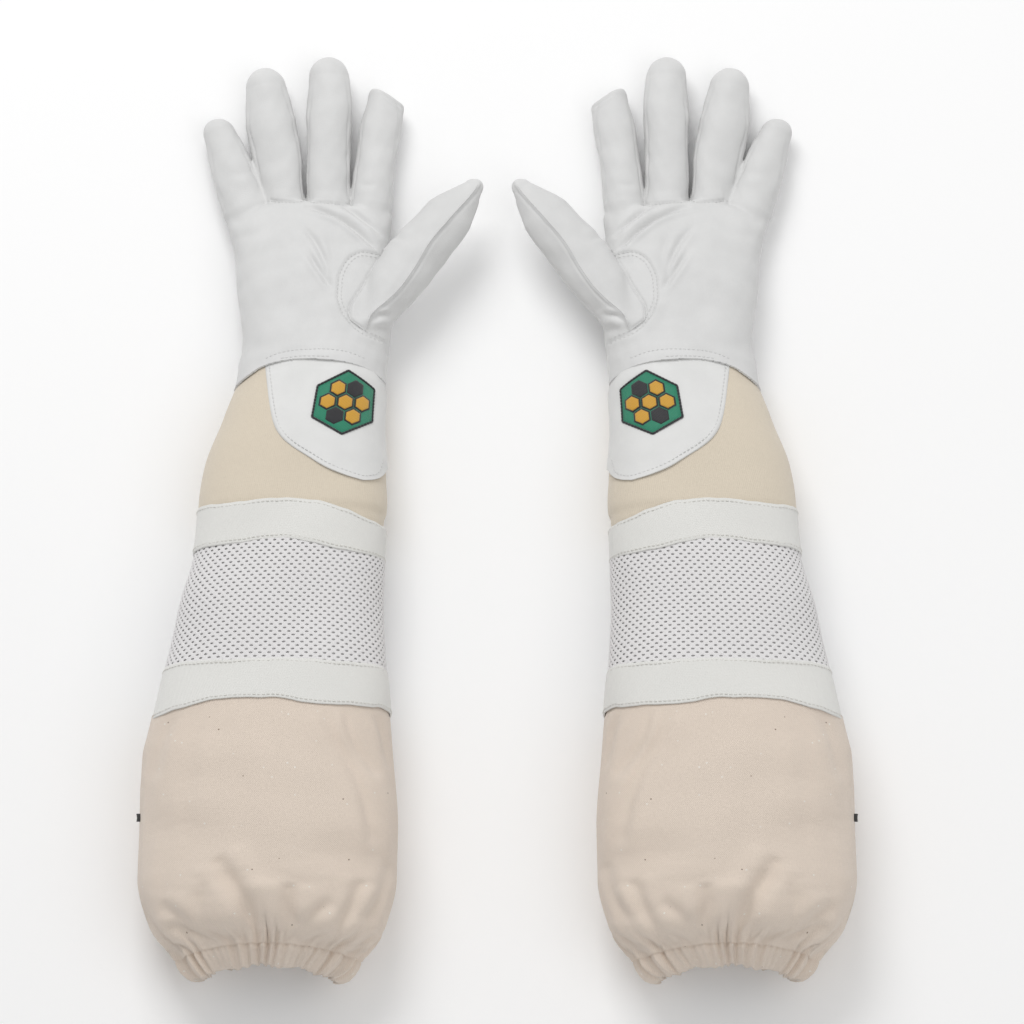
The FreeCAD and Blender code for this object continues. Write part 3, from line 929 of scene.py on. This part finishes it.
def band(low, high, edges, seed):
    """A tape round the sleeve, with turned edges that follow its seams."""
    below, above = edge_curve(low, edges[0]), edge_curve(high, edges[1])
    rng = np.random.default_rng(seed)
    phase = rng.uniform(0, PHASES, 3)

    def edge(u, y):
        share = (y - low) / (high - low)
        turn = 2 * math.pi * u
        ripple = 0.14 * np.sin(17 * turn + phase[0]) + 0.08 * np.sin(31 * turn + phase[1])
        return below(u) * (1 - share) + above(u) * share + ripple

    insets, shares = (np.array(v) for v in zip(*TURNED_EDGE))
    middle = np.linspace(low + 1.8, high - 1.8, 14)
    rows = np.concatenate([low + insets, middle, (high - insets)[::-1]])
    ramp_up = np.concatenate([shares, np.ones(len(middle)), shares[::-1]])[:, None]

    def lifted(u, y):
        rows_of_pucker = np.sin((y - low) / (high - low) * math.pi * 5)
        pucker = 0.16 * np.sin(2 * math.pi * 61 * u + phase[2]) * rows_of_pucker
        broad = 0.35 * cloth_waves(u, y, 40.0, seed)
        return ramp_up * BAND_LIFT + (pucker + broad) * (ramp_up > 0.95)
    return tube(rows, COLUMNS, lifted, edge), edge


NET_PITCH = (5.1, 2.2)         # between two holes: round the arm, and along it
NET_HOLE = (1.0, 0.62)         # a hole's half width and half height
NET_LIFT, NET_DROP = 0.1, -0.25    # the knit round the holes, and the holes' own edges
MESH_WAVES = (45.0, 44)        # length and seed of the unevenness that the net and its core share
MESH_WAVE_HEIGHT = 0.8


def net(low, high):
    """The mesh band: a knitted face with an even pattern of six-sided holes."""
    girth = ring((low + high) / 2)[3]
    columns = int(round(girth / NET_PITCH[0]))
    rows = int(round((high - low) / NET_PITCH[1]))
    step = (high - low) / rows
    width, height = NET_HOLE[0] / NET_PITCH[0] / columns * 1.1, NET_HOLE[1] / NET_PITCH[1]
    index, us, ys, faces = {}, [], [], []

    def corner(u, y):
        key = (round(u * columns * 2) % (2 * columns), round(y * 3))
        if key not in index:
            index[key] = len(us)
            us.append(u)
            ys.append(y)
        return index[key]

    for r in range(rows):
        for c in range(columns):
            u0 = (c + 0.5 * (r % 2)) / columns
            outer = [corner(u0 + dx / columns, r + dy) for dx, dy in
                     ((0.5, 1 / 3), (0, 2 / 3), (-0.5, 1 / 3), (-0.5, -1 / 3), (0, -2 / 3), (0.5, -1 / 3))]
            first = len(us)
            for k in range(6):
                a = math.radians(30 + 60 * k)
                us.append(u0 + width * math.cos(a))
                ys.append(r + height * math.sin(a))
            faces += [(outer[k], outer[(k + 1) % 6], first + (k + 1) % 6, first + k) for k in range(6)]
    us, ys = np.array(us), low + (np.array(ys) + 0.5) * step
    inner = np.ones(len(us), bool)
    inner[list(index.values())] = False
    lift = np.where(inner, NET_DROP, NET_LIFT) + MESH_WAVE_HEIGHT * cloth_waves(us, ys, *MESH_WAVES)
    return Piece(on_form(us, ys, lift), faces, np.stack([us * girth, ys, 0 * us], 1))


# ---------------------------------------------------------------- the canvas
SIM_UNIT = 0.01                  # the cloth solver works in units of 100 mm
SIM_FRAMES = 40
GAUNTLET_GRID = (240, 84)        # columns and rows of cloth
GAUNTLET_CUT = (420.0, 180.0)    # the canvas tube before it is gathered: round, and along
GAUNTLET_TOP = LOWER_BAND[0] + 7.0
HEM_BOW, HEM_HALF = 10.5, 50.0   # how far the hem's edge bows up, and half its width
HEM_SHARE = 0.62                 # how much of the bow its gathering stitches share
GATHER_BASE = -2.0               # the hem's gathers lie under the form by this much
HEM_MIDDLE = -24.0
CLOTH_AXIS = (-24.5, 42.0)       # the middle of the canvas tube before it is sewn: x, z
PINNED_TOP, PINNED_END = 4, 2    # rows of cloth that are sewn to the tape, and to the hem
CLOTH_GAP = 0.008                # how far the cloth keeps from the ground, in the solver's units


def gathers(u):
    """The hem's uneven pleats, where the elastic draws the canvas in."""
    turn = 2 * math.pi * u
    phase = 36 * turn + 2.6 * np.sin(3 * turn + 1) + 1.9 * np.sin(7 * turn + 2) + 1.2 * np.sin(11 * turn)
    size = 1.7 + 0.9 * np.sin(5 * turn + 0.5) + 0.5 * np.sin(13 * turn)
    return size * np.sin(phase)


def hem_shift(points):
    """The hem's edge bows up between its corners, and its underside stops short of the upper side."""
    across = np.clip(np.abs(points[..., 0] - HEM_MIDDLE) / HEM_HALF, 0, 1)
    return 7.5 * smoothstep(30, 12, points[..., 2]) + HEM_BOW * (1 - across**2)


def bow_hem(points, y):
    """Bows the hem's rows, which were laid out at y, between its corners."""
    ramp = HEM_SHARE + (1 - HEM_SHARE) * smoothstep(-270, -284, y)
    points[..., 1] += hem_shift(points) * ramp


def settle(points, faces, flat, pinned):
    """The cloth after it has filled out under its own weight and the air in it. flat is its shape
    before sewing, and the pinned points stay where they are sewn."""
    mesh = bpy.data.meshes.new("settling")
    mesh.from_pydata((points * SIM_UNIT).tolist(), [], faces)
    mesh.update()
    cloth = bpy.data.objects.new("settling", mesh)
    bpy.context.collection.objects.link(cloth)
    cloth.shape_key_add(name="sewn")
    cut = cloth.shape_key_add(name="cut")
    cut.data.foreach_set("co", (flat * SIM_UNIT).astype(np.float32).ravel())
    cut.value = 0.0
    cloth.vertex_groups.new(name="pins").add([int(i) for i in pinned], 1.0, "REPLACE")
    bpy.ops.mesh.primitive_plane_add(size=40.0)
    ground = bpy.context.object
    ground.modifiers.new("ground", "COLLISION")
    ground.collision.thickness_outer = 0.01
    solver = cloth.modifiers.new("cloth", "CLOTH")
    values = dict(quality=7, mass=0.15, tension_stiffness=25, compression_stiffness=25, shear_stiffness=6,
                  bending_stiffness=0.6, tension_damping=12, compression_damping=12, shear_damping=8,
                  bending_damping=1.0, air_damping=4, vertex_group_mass="pins", use_pressure=True,
                  uniform_pressure_force=6.5)
    for key, value in values.items():
        setattr(solver.settings, key, value)
    solver.settings.rest_shape_key = cut
    solver.collision_settings.distance_min = CLOTH_GAP
    solver.collision_settings.use_self_collision = False
    scene = bpy.context.scene
    solver.point_cache.frame_end = SIM_FRAMES
    for number in range(1, SIM_FRAMES + 1):
        scene.frame_set(number)
    done = cloth.evaluated_get(bpy.context.evaluated_depsgraph_get())
    found = np.empty(len(points) * 3, np.float32)
    done.data.vertices.foreach_get("co", found)
    for obj in (cloth, ground):
        bpy.data.objects.remove(obj, do_unlink=True)
    scene.frame_set(1)
    return found.reshape(-1, 3).astype(float) / SIM_UNIT


def gauntlet():
    """The canvas between the lower tape and the hem: sewn to both, and settled as cloth."""
    columns, rows = GAUNTLET_GRID
    u, y = np.meshgrid(np.arange(columns) / columns, np.linspace(GAUNTLET_TOP, HEM_TOP, rows))
    near_hem = smoothstep(-215, HEM_TOP, y)
    bumps = 1.6 * cloth_waves(u, y, 42.0, 3, 260) * smoothstep(-126, -150, y) * smoothstep(HEM_TOP, -250, y)
    lift = -0.8 * smoothstep(-135, -124, y) + GATHER_BASE * near_hem + gathers(u) * near_hem + bumps
    points = on_form(u, y, lift)
    points[..., 1] += hem_shift(points) * near_hem * HEM_SHARE
    faces = flipped(grid_faces(rows, columns, True))
    radius, turn = GAUNTLET_CUT[0] / (2 * math.pi), 2 * math.pi * u
    along = (GAUNTLET_TOP - y) / (GAUNTLET_TOP - HEM_TOP) * GAUNTLET_CUT[1]
    flat = np.stack([CLOTH_AXIS[0] - radius * np.cos(turn), GAUNTLET_TOP - along,
                     CLOTH_AXIS[1] + radius * np.sin(turn)], -1)
    points = points.reshape(-1, 3)
    pinned = [*range(PINNED_TOP * columns), *range((rows - PINNED_END) * columns, rows * columns)]
    points = settle(points, faces, flat.reshape(-1, 3), pinned)
    points = crumple(trim_sides(soften(points.reshape(rows, columns, 3))), faces)
    return Piece(points, faces, np.stack([u * GAUNTLET_CUT[0], -along, 0 * u], -1))


SOFTEN_STEPS, SOFTEN_SHARE = 14, 0.5


def soften(points):
    """Rounds the settled cloth's sharpest creases, less so towards the hem."""
    rows = len(points)
    give = (smoothstep(rows - 2, rows - 26, np.arange(rows)) * SOFTEN_SHARE)[:, None, None]
    for _ in range(SOFTEN_STEPS):
        beside = (np.roll(points, 1, 1) + np.roll(points, -1, 1)) / 2
        points = points + give * (beside - points)
    return points


def trim_sides(points):
    """Draws the settled cloth in to the glove's outline on each side of its middle."""
    for row in points[PINNED_TOP:-PINNED_END]:
        for side in (-1, 1):
            end = row[np.argmax(side * row[:, 0])]
            middle, half = (form_value(i, end[1]) for i in (1, 2))
            half_now = side * (end[0] - middle)
            here = side * (row[:, 0] - middle) > 0
            row[here, 0] = middle + (row[here, 0] - middle) * half / half_now
    return points


# creases in the canvas: points, depth, width
CANVAS_FOLDS = [
    ([(-52, -217), (-46, -228), (-37, -243), (-32, -256), (-28, -270)], 4.2, 5.0),
    ([(-9, -233), (-10, -245), (-8, -258), (-3, -271)], 3.8, 4.6),
    ([(33, -229), (27, -245), (19, -259), (11, -273)], 3.2, 3.6),
    ([(17, -243), (8, -248), (-1, -256)], 1.6, 3.0),
    ([(-86, -243), (-70, -255), (-57, -268)], 2.8, 3.6),
    ([(10, -127), (16, -145), (27, -164), (34, -182), (38, -203)], 1.9, 3.4),
    ([(21, -127), (27, -147), (39, -164)], 1.6, 2.8),
    ([(38, -124), (44, -140), (48, -156)], 1.2, 2.4),
    ([(-76, -124), (-84, -142), (-88, -163)], 1.4, 3.4),
    ([(-58, -232), (-62, -246), (-56, -262)], 1.6, 4.0),
    ([(48, -215), (46, -232), (38, -247), (28, -262)], 2.4, 3.8),
]


def crumple(points, faces):
    """Presses the creases into the upper side of the canvas, with a soft ridge on both sides of each."""
    points = points.reshape(-1, 3)
    normals = normals_of(points, np.array(faces))
    upper = smoothstep(0.0, 0.5, normals[:, 2])
    shift = np.zeros(len(points))
    for line, depth, width in CANVAS_FOLDS:
        near, share = distance_to_path(points[:, 0], points[:, 1], line)
        fade = np.sin(math.pi * np.clip(0.12 + 0.7 * share, 0, 1)) ** 0.8 * smoothstep(0.0, 0.06, share)
        shift += fade * depth * (-dent(near, width) + 0.5 * dent(np.abs(near) - 2.1 * width, 1.3 * width))
    shift += 0.5 * waves(points[:, 0], 0.4 * points[:, 1], points[:, 2], 17.0, 8)
    row = np.arange(len(points)) // GAUNTLET_GRID[0]
    free = smoothstep(3, 10, row) * smoothstep(GAUNTLET_GRID[1] - 3, GAUNTLET_GRID[1] - 12, row)
    return points + normals * (upper * shift * free)[:, None]


# the hem casing from its gathering stitches, over the fold and back inside: (place along, height over
# the gathers)
HEM_PROFILE = [(-269.6, -0.3), (-271.2, -1.1), (-272.6, -0.2), (-275.5, 0.7), (-279.0, 0.9),
               (-282.5, 0.5), (-285.0, -0.7), (-286.4, -2.4), (-286.2, -4.0), (-283.5, -5.0),
               (-279.0, -5.3), (-272.0, -5.4)]
HEM_GATHER = 0.95                # the hem's pleats beside the gauntlet's


def hem():
    """The hem's casing: canvas folded over the elastic, in pleats that carry on the gauntlet's gathers."""
    columns = 2 * GAUNTLET_GRID[0]
    ys, heights = (np.array(v) for v in zip(*HEM_PROFILE))
    u, y = np.meshgrid(np.arange(columns) / columns, ys)
    fine = 0.45 * np.sin(2 * math.pi * 71 * u + 2.0 * np.sin(2 * math.pi * 5 * u))
    points = on_form(u, y, GATHER_BASE + heights[:, None] + gathers(u) * HEM_GATHER + fine)
    bow_hem(points, y)
    points[..., 1] += (0.16 * gathers(u) + 0.9 * np.sin(2 * math.pi * 9 * u + 1)) * smoothstep(-273, -284, y)
    run = np.concatenate([[0], np.cumsum(np.hypot(np.diff(ys), np.diff(heights)))])[:, None] + 0 * u
    return Piece(points, flipped(grid_faces(len(ys), columns, True)),
                 np.stack([u * GAUNTLET_CUT[0], -run, 0 * u], -1))


# ---------------------------------------------------------------- the patch and its badge
PATCH_Y = (14.6, 98.0)
PATCH_OUTLINE = [(31.0, 14.6), (22.0, 16.6), (10.0, 21.2), (-0.5, 27.6), (-11.0, 34.6), (-16.5, 39.8),
                 (-20.5, 46.4), (-22.8, 54.0), (-24.4, 63.0), (-25.8, 74.0), (-27.2, 86.0), (-28.2, 98.0)]
PATCH_CORNER = [(31.0, 14.6), (36.5, 15.8), (40.6, 18.4), (43.2, 23.0), (44.4, 30.0)]
PATCH_TUCK = 0.035         # the share by which the patch reaches round the side, past the corner
BADGE_AT = (20.3, 63.0)
COMB = 10.3                # between the middles of two cells
EMPTY_CELLS = (2, 5)
PATCH_LIFT, PATCH_EDGE = 1.3, 0.1


def line_x(line, y):
    """Where a line of (x, y) places crosses y."""
    xs, ys = zip(*line)
    return float(monotone(ys, xs, np.array([y]))[0])


def patch_left(y):
    """The share round the form of the patch's curved edge at y."""
    return share_at(line_x(PATCH_OUTLINE, y), y)


def patch_right(y):
    """The share round the form of the patch's edge at the side seam, with its rounded corner."""
    share, px, _, _ = ring(float(y))
    full = float(share[np.argmax(px)]) + PATCH_TUCK
    last, end = PATCH_CORNER[-2][1], PATCH_CORNER[-1][1]
    if y >= end:
        return full
    corner = share_at(line_x(PATCH_CORNER, y), y)
    return corner + (full - corner) * float(smoothstep(last, end + 1, y)) ** 2


def patch():
    rows = np.concatenate([PATCH_Y[0] + 14 * np.linspace(0, 1, 22) ** 2, np.linspace(30, PATCH_Y[1], 34)])
    across = np.concatenate([[0, 0.006], np.linspace(0.02, 0.98, 60), [0.994, 1]])
    u = np.stack([patch_left(y) + (patch_right(y) - patch_left(y)) * across for y in rows])
    y = np.repeat(rows[:, None], len(across), 1)
    lift = np.full_like(u, PATCH_LIFT) + 0.3 * cloth_waves(u, y, 30.0, 51)
    for edge_line in (lift[:, 0], lift[:, -1], lift[0, :]):
        edge_line[:] = PATCH_EDGE
    for edge_line in (lift[:, 1], lift[:, -2], lift[1, :]):
        edge_line[:] = np.minimum(edge_line, 1.0)
    edge = leather_edge(on_form(u, y)[..., 0])
    lift = np.minimum(lift, 1.6 - 1.4 * smoothstep(edge - 7, edge - 0.5, y))
    return Piece(on_form(u, y, lift), grid_faces(len(rows), len(across), False),
                 np.stack([u * ring(60.0)[3], y, lift], -1))


BADGE_SHARE = share_at(*BADGE_AT)


def on_patch(dx, dy, lift):
    """A point beside the badge's middle: dx round the cuff and dy along it."""
    y = BADGE_AT[1] + dy
    return on_form(BADGE_SHARE + dx / ring(BADGE_AT[1])[3], y, lift)


PAD_RINGS = ((1.0, 0.0), (0.97, 0.6), (0.8, 0.95), (0.45, 1.0))    # (size, share of the height)


def pad(outline, base, height):
    """An embroidered area: an outline in badge coordinates, domed from base by height."""
    outline = np.asarray(outline, float)
    middle = outline.mean(axis=0)
    points, cloth = [], []
    for scale, rise in PAD_RINGS:
        for x, y in middle + (outline - middle) * scale:
            points.append(on_patch(x, y, base + height * rise))
            cloth.append((x, y, 0))
    points.append(on_patch(*middle, base + height))
    cloth.append((*middle, 0))
    n = len(outline)
    last = (len(PAD_RINGS) - 1) * n
    faces = grid_faces(len(PAD_RINGS), n, True)
    faces += [(last + k, last + (k + 1) % n, len(points) - 1) for k in range(n)]
    return Piece(points, faces, cloth)


def around(radius, turn=0.0):
    """Six points round the origin."""
    angles = [math.radians(60 * k + turn) for k in range(6)]
    return [(radius * math.cos(a), radius * math.sin(a)) for a in angles]


def hexagon(x, y, radius, per_side=4):
    """The outline of a hexagon with a corner at the top, cut into per_side steps on each side."""
    corners = [(x + dx, y + dy) for dx, dy in around(radius, 30)]
    out = []
    for (ax, ay), (bx, by) in zip(corners, corners[1:] + corners[:1]):
        out += [(ax + (bx - ax) * t / per_side, ay + (by - ay) * t / per_side) for t in range(per_side)]
    return out


def badge():
    """A plain honeycomb emblem: a green ground with a dark rim, and seven cells, most of them gold."""
    ground = pad(hexagon(0, 0, 20.3, 6), 1.5, 0.5)
    cells, comb = [], []
    for k, (x, y) in enumerate([(0, 0), *around(COMB)]):
        comb.append(pad(hexagon(x, y, 5.8), 1.9, 0.35))
        if k not in EMPTY_CELLS:
            cells.append(pad(hexagon(x, y, 4.6), 2.2, 0.45))
    rim = []
    outline = hexagon(0, 0, 20.5, 10)
    for p, q in zip(outline, outline[1:] + outline[:1]):
        a, b = on_patch(*p, 2.0), on_patch(*q, 2.0)
        normal = on_patch(*p, 3.0) - a
        rim.append(stitch((a + b) / 2, b - a, normal / np.linalg.norm(normal), 2.9, 0.75))
    return {"badge_ground": (ground, GREEN), "badge_comb": (join(comb + rim), INK),
            "badge_cells": (join(cells), GOLD)}


# ---------------------------------------------------------------- putting a glove together
FINGER_GIVE = 24.0             # a length along a finger from its root
FINGER_AXIS, THUMB_MIDDLE = 13.0, 145.0


def limb_blend(obj, name):
    """Works out where a finger or the thumb leaves the hand, and bakes the piece's placing into its mesh."""
    if name == "thumb":
        middle, z = np.array((THUMB_ROOT[0], THUMB_MIDDLE)), THUMB_BASE[2]
        out = middle + (THUMB_ROOT[1] - THUMB_ROOT[0], 0)
    else:
        base, splay, _, _ = FINGERS[name]
        forward, _ = finger_axis(splay)
        middle, out, z = np.array(base), np.array(base) + forward * FINGER_GIVE, FINGER_AXIS
    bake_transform(obj)


def follow(obj, side, limb):
    """Parents the hand's own piece to its body; every other piece keeps its place, baked into its mesh."""
    if limb == "wrist":
        across_wrist(obj)
    elif limb == "hand":
        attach(obj, f"{side}_hand")
    else:
        limb_blend(obj, limb)


# the CAD nodes that each limb's skin stands for
LIMB_NODES = {
    "hand": ("palm_panel", "back_panel", "thumb_gusset"), "thumb": ("thumb_front", "thumb_back"),
    **{name: tuple(f"{name}_{part}" for part in ("front", "back", "fourchettes")) for name in FINGERS},
}


def make_hand(side, pieces, seams):
    for name, piece in pieces.items():
        hand = name == "hand"
        obj = place(piece, f"{name}_leather", side, GOATSKIN, LEATHER if hand else 0.0)
        follow(obj, side, "wrist" if hand else name)
        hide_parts(*(f"{side}_{n}" for n in LIMB_NODES[name]))
    for name, (beads, look, limb) in seams.items():
        follow(place(join(beads), name, side, look), side, limb)


def hand_seams(tree):
    gusset = hand_stitches(tree, GUSSET_LINE) + hand_stitches(tree, offset_line(GUSSET_LINE, -2.4))
    fingers = [bead for line in FINGER_SEAMS for bead in hand_stitches(tree, line, 2.2, 1.4, 0.25)]
    welts = [welt(tree, THUMB_SEAM, 0.5), welt(tree, THUMB_INNER_LINE, 0.34)]
    rows = [bead for line in WRIST_ROWS for bead in hand_stitches(tree, line)]
    return {"thumb_welts": (welts, GOATSKIN, "thumb"), "gusset_stitches": (gusset, WHITE_THREAD, "hand"),
            "finger_seam_stitches": (fingers, WHITE_THREAD, "hand"),
            "wrist_stitches": (rows, WHITE_THREAD, "wrist")}


def make_sleeve(side, parts):
    for name, (piece, slot, look, thickness, node_name, held) in parts.items():
        obj = place(piece, name, side, look, thickness)
        if name == "cuff_twill":
            across_wrist(obj)
        else:
            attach(obj, f"{side}_sleeve")
        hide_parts(f"{side}_{node_name}")


def cuff_lift(u, y):
    """The cuff lies a little under the form at its wrist seam and where the upper tape covers it."""
    bumps = 0.6 * cloth_waves(u, y, 50.0, 45) * smoothstep(4, 20, y)
    wrist = 0.9 * smoothstep(-3, 4, y - leather_edge(on_form(u, y)[..., 0]))
    return bumps - wrist - 1.2 * smoothstep(3.5, -1.5, y + 0.16 * np.abs(u - 0.22) * 60)


def core_lift(u, y):
    return CORE_LIFT + MESH_WAVE_HEIGHT * cloth_waves(u, y, *MESH_WAVES)


CORE_LIFT = -1.45
MESH_TUCK = (2.0, 3.0, 5.0)    # how far the net, and the core, reach under the lower tape, and both the upper


def sleeve_parts():
    cuff = tube(np.linspace(-15, 100, 70), COLUMNS, cuff_lift)
    upper, upper_edge = band(*UPPER_BAND, UPPER_TAPE_EDGES, 41)
    lower, lower_edge = band(*LOWER_BAND, LOWER_TAPE_EDGES, 42)
    mesh_top = UPPER_BAND[0] + MESH_TUCK[2]
    knit = net(LOWER_BAND[1] - MESH_TUCK[0], mesh_top)
    core = tube(np.linspace(LOWER_BAND[1] - MESH_TUCK[1], mesh_top, 40), COLUMNS, core_lift)
    parts = {
        "cuff_twill": (cuff, "twill", TWILL, CLOTH, "cuff", "stretched"),
        "upper_tape": (upper, "tape", TAPE, 0.9, "upper_band", "stretched"),
        "lower_tape": (lower, "tape", TAPE, 0.9, "lower_band", "stretched"),
        "mesh_net": (knit, "mesh", NET, 0.6, "mesh_face", "stretched"),
        "mesh_backing": (core, "mesh_core", CORE, 0.8, "mesh_core", "stretched"),
        "gauntlet_canvas": (gauntlet(), "canvas", CANVAS, 0.9, "gauntlet", "gathered"),
        "hem_canvas": (hem(), "canvas", CANVAS, 0.7, "hem_casing", "gathered"),
    }
    beads = []
    for (low, high), edge in ((UPPER_BAND, upper_edge), (LOWER_BAND, lower_edge)):
        for y in (low + 2.0, high - 2.0):
            beads += ring_stitches(y, 0.85, edge)
    return parts, join(beads)


def make_trim(side, patch_piece, patch_beads, badge_parts, tape_beads):
    obj = place(patch_piece, "patch_leather", side, PATCH_SKIN)
    across_wrist(obj)
    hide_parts(f"{side}_cuff_patch")
    obj = place(patch_beads, "patch_stitches", side, WHITE_THREAD)
    across_wrist(obj)
    for name, (piece, look) in badge_parts.items():
        obj = place(piece, name, side, look)
        across_wrist(obj)
        if name == "badge_ground":
            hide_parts(f"{side}_badge")
    obj = place(tape_beads, "tape_stitches", side, CREAM_THREAD)
    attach(obj, f"{side}_sleeve")


def patch_stitches():
    """The row of stitches just inside the patch's edge, up to the leather that covers its top."""
    border = [(x, y) for x, y in reversed(PATCH_OUTLINE) if y < 92] + PATCH_CORNER[1:]
    places, ways = path_frames(border, 3.0)
    ways = ways / np.linalg.norm(ways, axis=1, keepdims=True)
    inside = places + np.stack([-ways[:, 1], ways[:, 0]], 1) * 2.8
    us = [share_at(x, y) for x, y in inside]
    return join(form_stitches(us, inside[:, 1], 1.45, pitch=2.7, length=1.8, radius=0.3))


ELASTIC_DEPTH = 2.4            # under the hem's gathers


def elastic_ring():
    """The elastic in the hem's channel."""
    rows = np.linspace(HEM_TOP - 3, HEM_END + 3.5, 8)
    columns = 2 * GAUNTLET_GRID[0]
    strip = tube(rows, columns, lambda u, y: GATHER_BASE - ELASTIC_DEPTH + HEM_GATHER * gathers(u))
    bow_hem(strip.points, np.repeat(rows, columns))
    return strip


TAB_X, TAB_Y, TAB_Z = (-95.5, -100.2), (-188.8, -184.2), 41.0
TAB_HALF, TAB_FOLD = 0.7, -100.7


def side_tab():
    """A scrap of woven tape folded in half and caught in the side seam."""
    columns, rows = np.linspace(*TAB_X, 10), np.linspace(*TAB_Y, 8)
    loop = [(x, TAB_Z + TAB_HALF) for x in columns] + [(TAB_FOLD, TAB_Z)]
    loop += [(x, TAB_Z - TAB_HALF) for x in reversed(columns)]
    points = [(x + 0.2 * math.sin(0.9 * y), y, z + 0.15 * math.sin(y)) for y in rows for x, z in loop]
    return Piece(points, flipped(grid_faces(len(rows), len(loop), False)))


# (name, place, width, watts) of each soft light
LIGHTS = (("key", (-0.5, 1.5, 1.8), 1.2, 24.0), ("fill", (0.9, -0.5, 2.0), 1.8, 8.0))
SKY = 0.55
LENS, SENSOR = 250.0, 36.0
VIEW_WIDTH = 0.6144              # what the camera sees across, at the gloves
VIEW_TILT = math.radians(76.0)
VIEW_AIM = Vector((0.0087, 0.0089, 0))


def stage_and_light():
    """A pale floor, soft lights, and a long-lens camera that looks down on the palms."""
    bpy.ops.mesh.primitive_plane_add(size=12.0, location=(0, 0, -0.0005))
    floor = bpy.context.object
    floor.name = "floor"
    floor.data.materials.append(material("floor_paper", floor_look))
    for name, place_at, size, power in LIGHTS:
        light = bpy.data.objects.new(name, bpy.data.lights.new(name, "AREA"))
        light.data.size = size
        light.data.energy = power
        light.location = place_at
        light.rotation_euler = (-Vector(place_at)).to_track_quat("-Z", "Y").to_euler()
        bpy.context.collection.objects.link(light)
    world = bpy.data.worlds.new("studio")
    world.use_nodes = True
    set_inputs(world.node_tree.nodes["Background"], {"Color": (1.0, 1.0, 1.0, 1), "Strength": SKY})
    bpy.context.scene.world = world
    bpy.context.scene.view_settings.view_transform = "Standard"
    camera = bpy.data.objects.new("camera", bpy.data.cameras.new("camera"))
    camera.data.lens = LENS
    camera.data.sensor_width = SENSOR
    distance = VIEW_WIDTH * LENS / SENSOR
    camera.location = VIEW_AIM + distance * Vector((0, -math.cos(VIEW_TILT), math.sin(VIEW_TILT)))
    camera.rotation_euler = (math.pi / 2 - VIEW_TILT, 0, 0)
    camera.data.clip_end = 50.0
    bpy.context.collection.objects.link(camera)
    bpy.context.scene.camera = camera


def main():
    stage_and_light()
    hand_pieces, tree = split_hand()
    seams = hand_seams(tree)
    parts, tape_beads = sleeve_parts()
    patch_piece, patch_beads, badge_parts = patch(), patch_stitches(), badge()
    elastic, tab = elastic_ring(), side_tab()
    for side in SIDES:
        make_hand(side, hand_pieces, seams)
        make_sleeve(side, parts)
        make_trim(side, patch_piece, patch_beads, badge_parts, tape_beads)
        obj = place(elastic, "elastic_braid", side, ELASTIC, 1.0)
        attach(obj, f"{side}_sleeve")
        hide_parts(f"{side}_elastic")
        obj = place(tab, "side_tab", side, LABEL, 0.35)
        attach(obj, f"{side}_sleeve")
        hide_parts(f"{side}_side_label")


main()
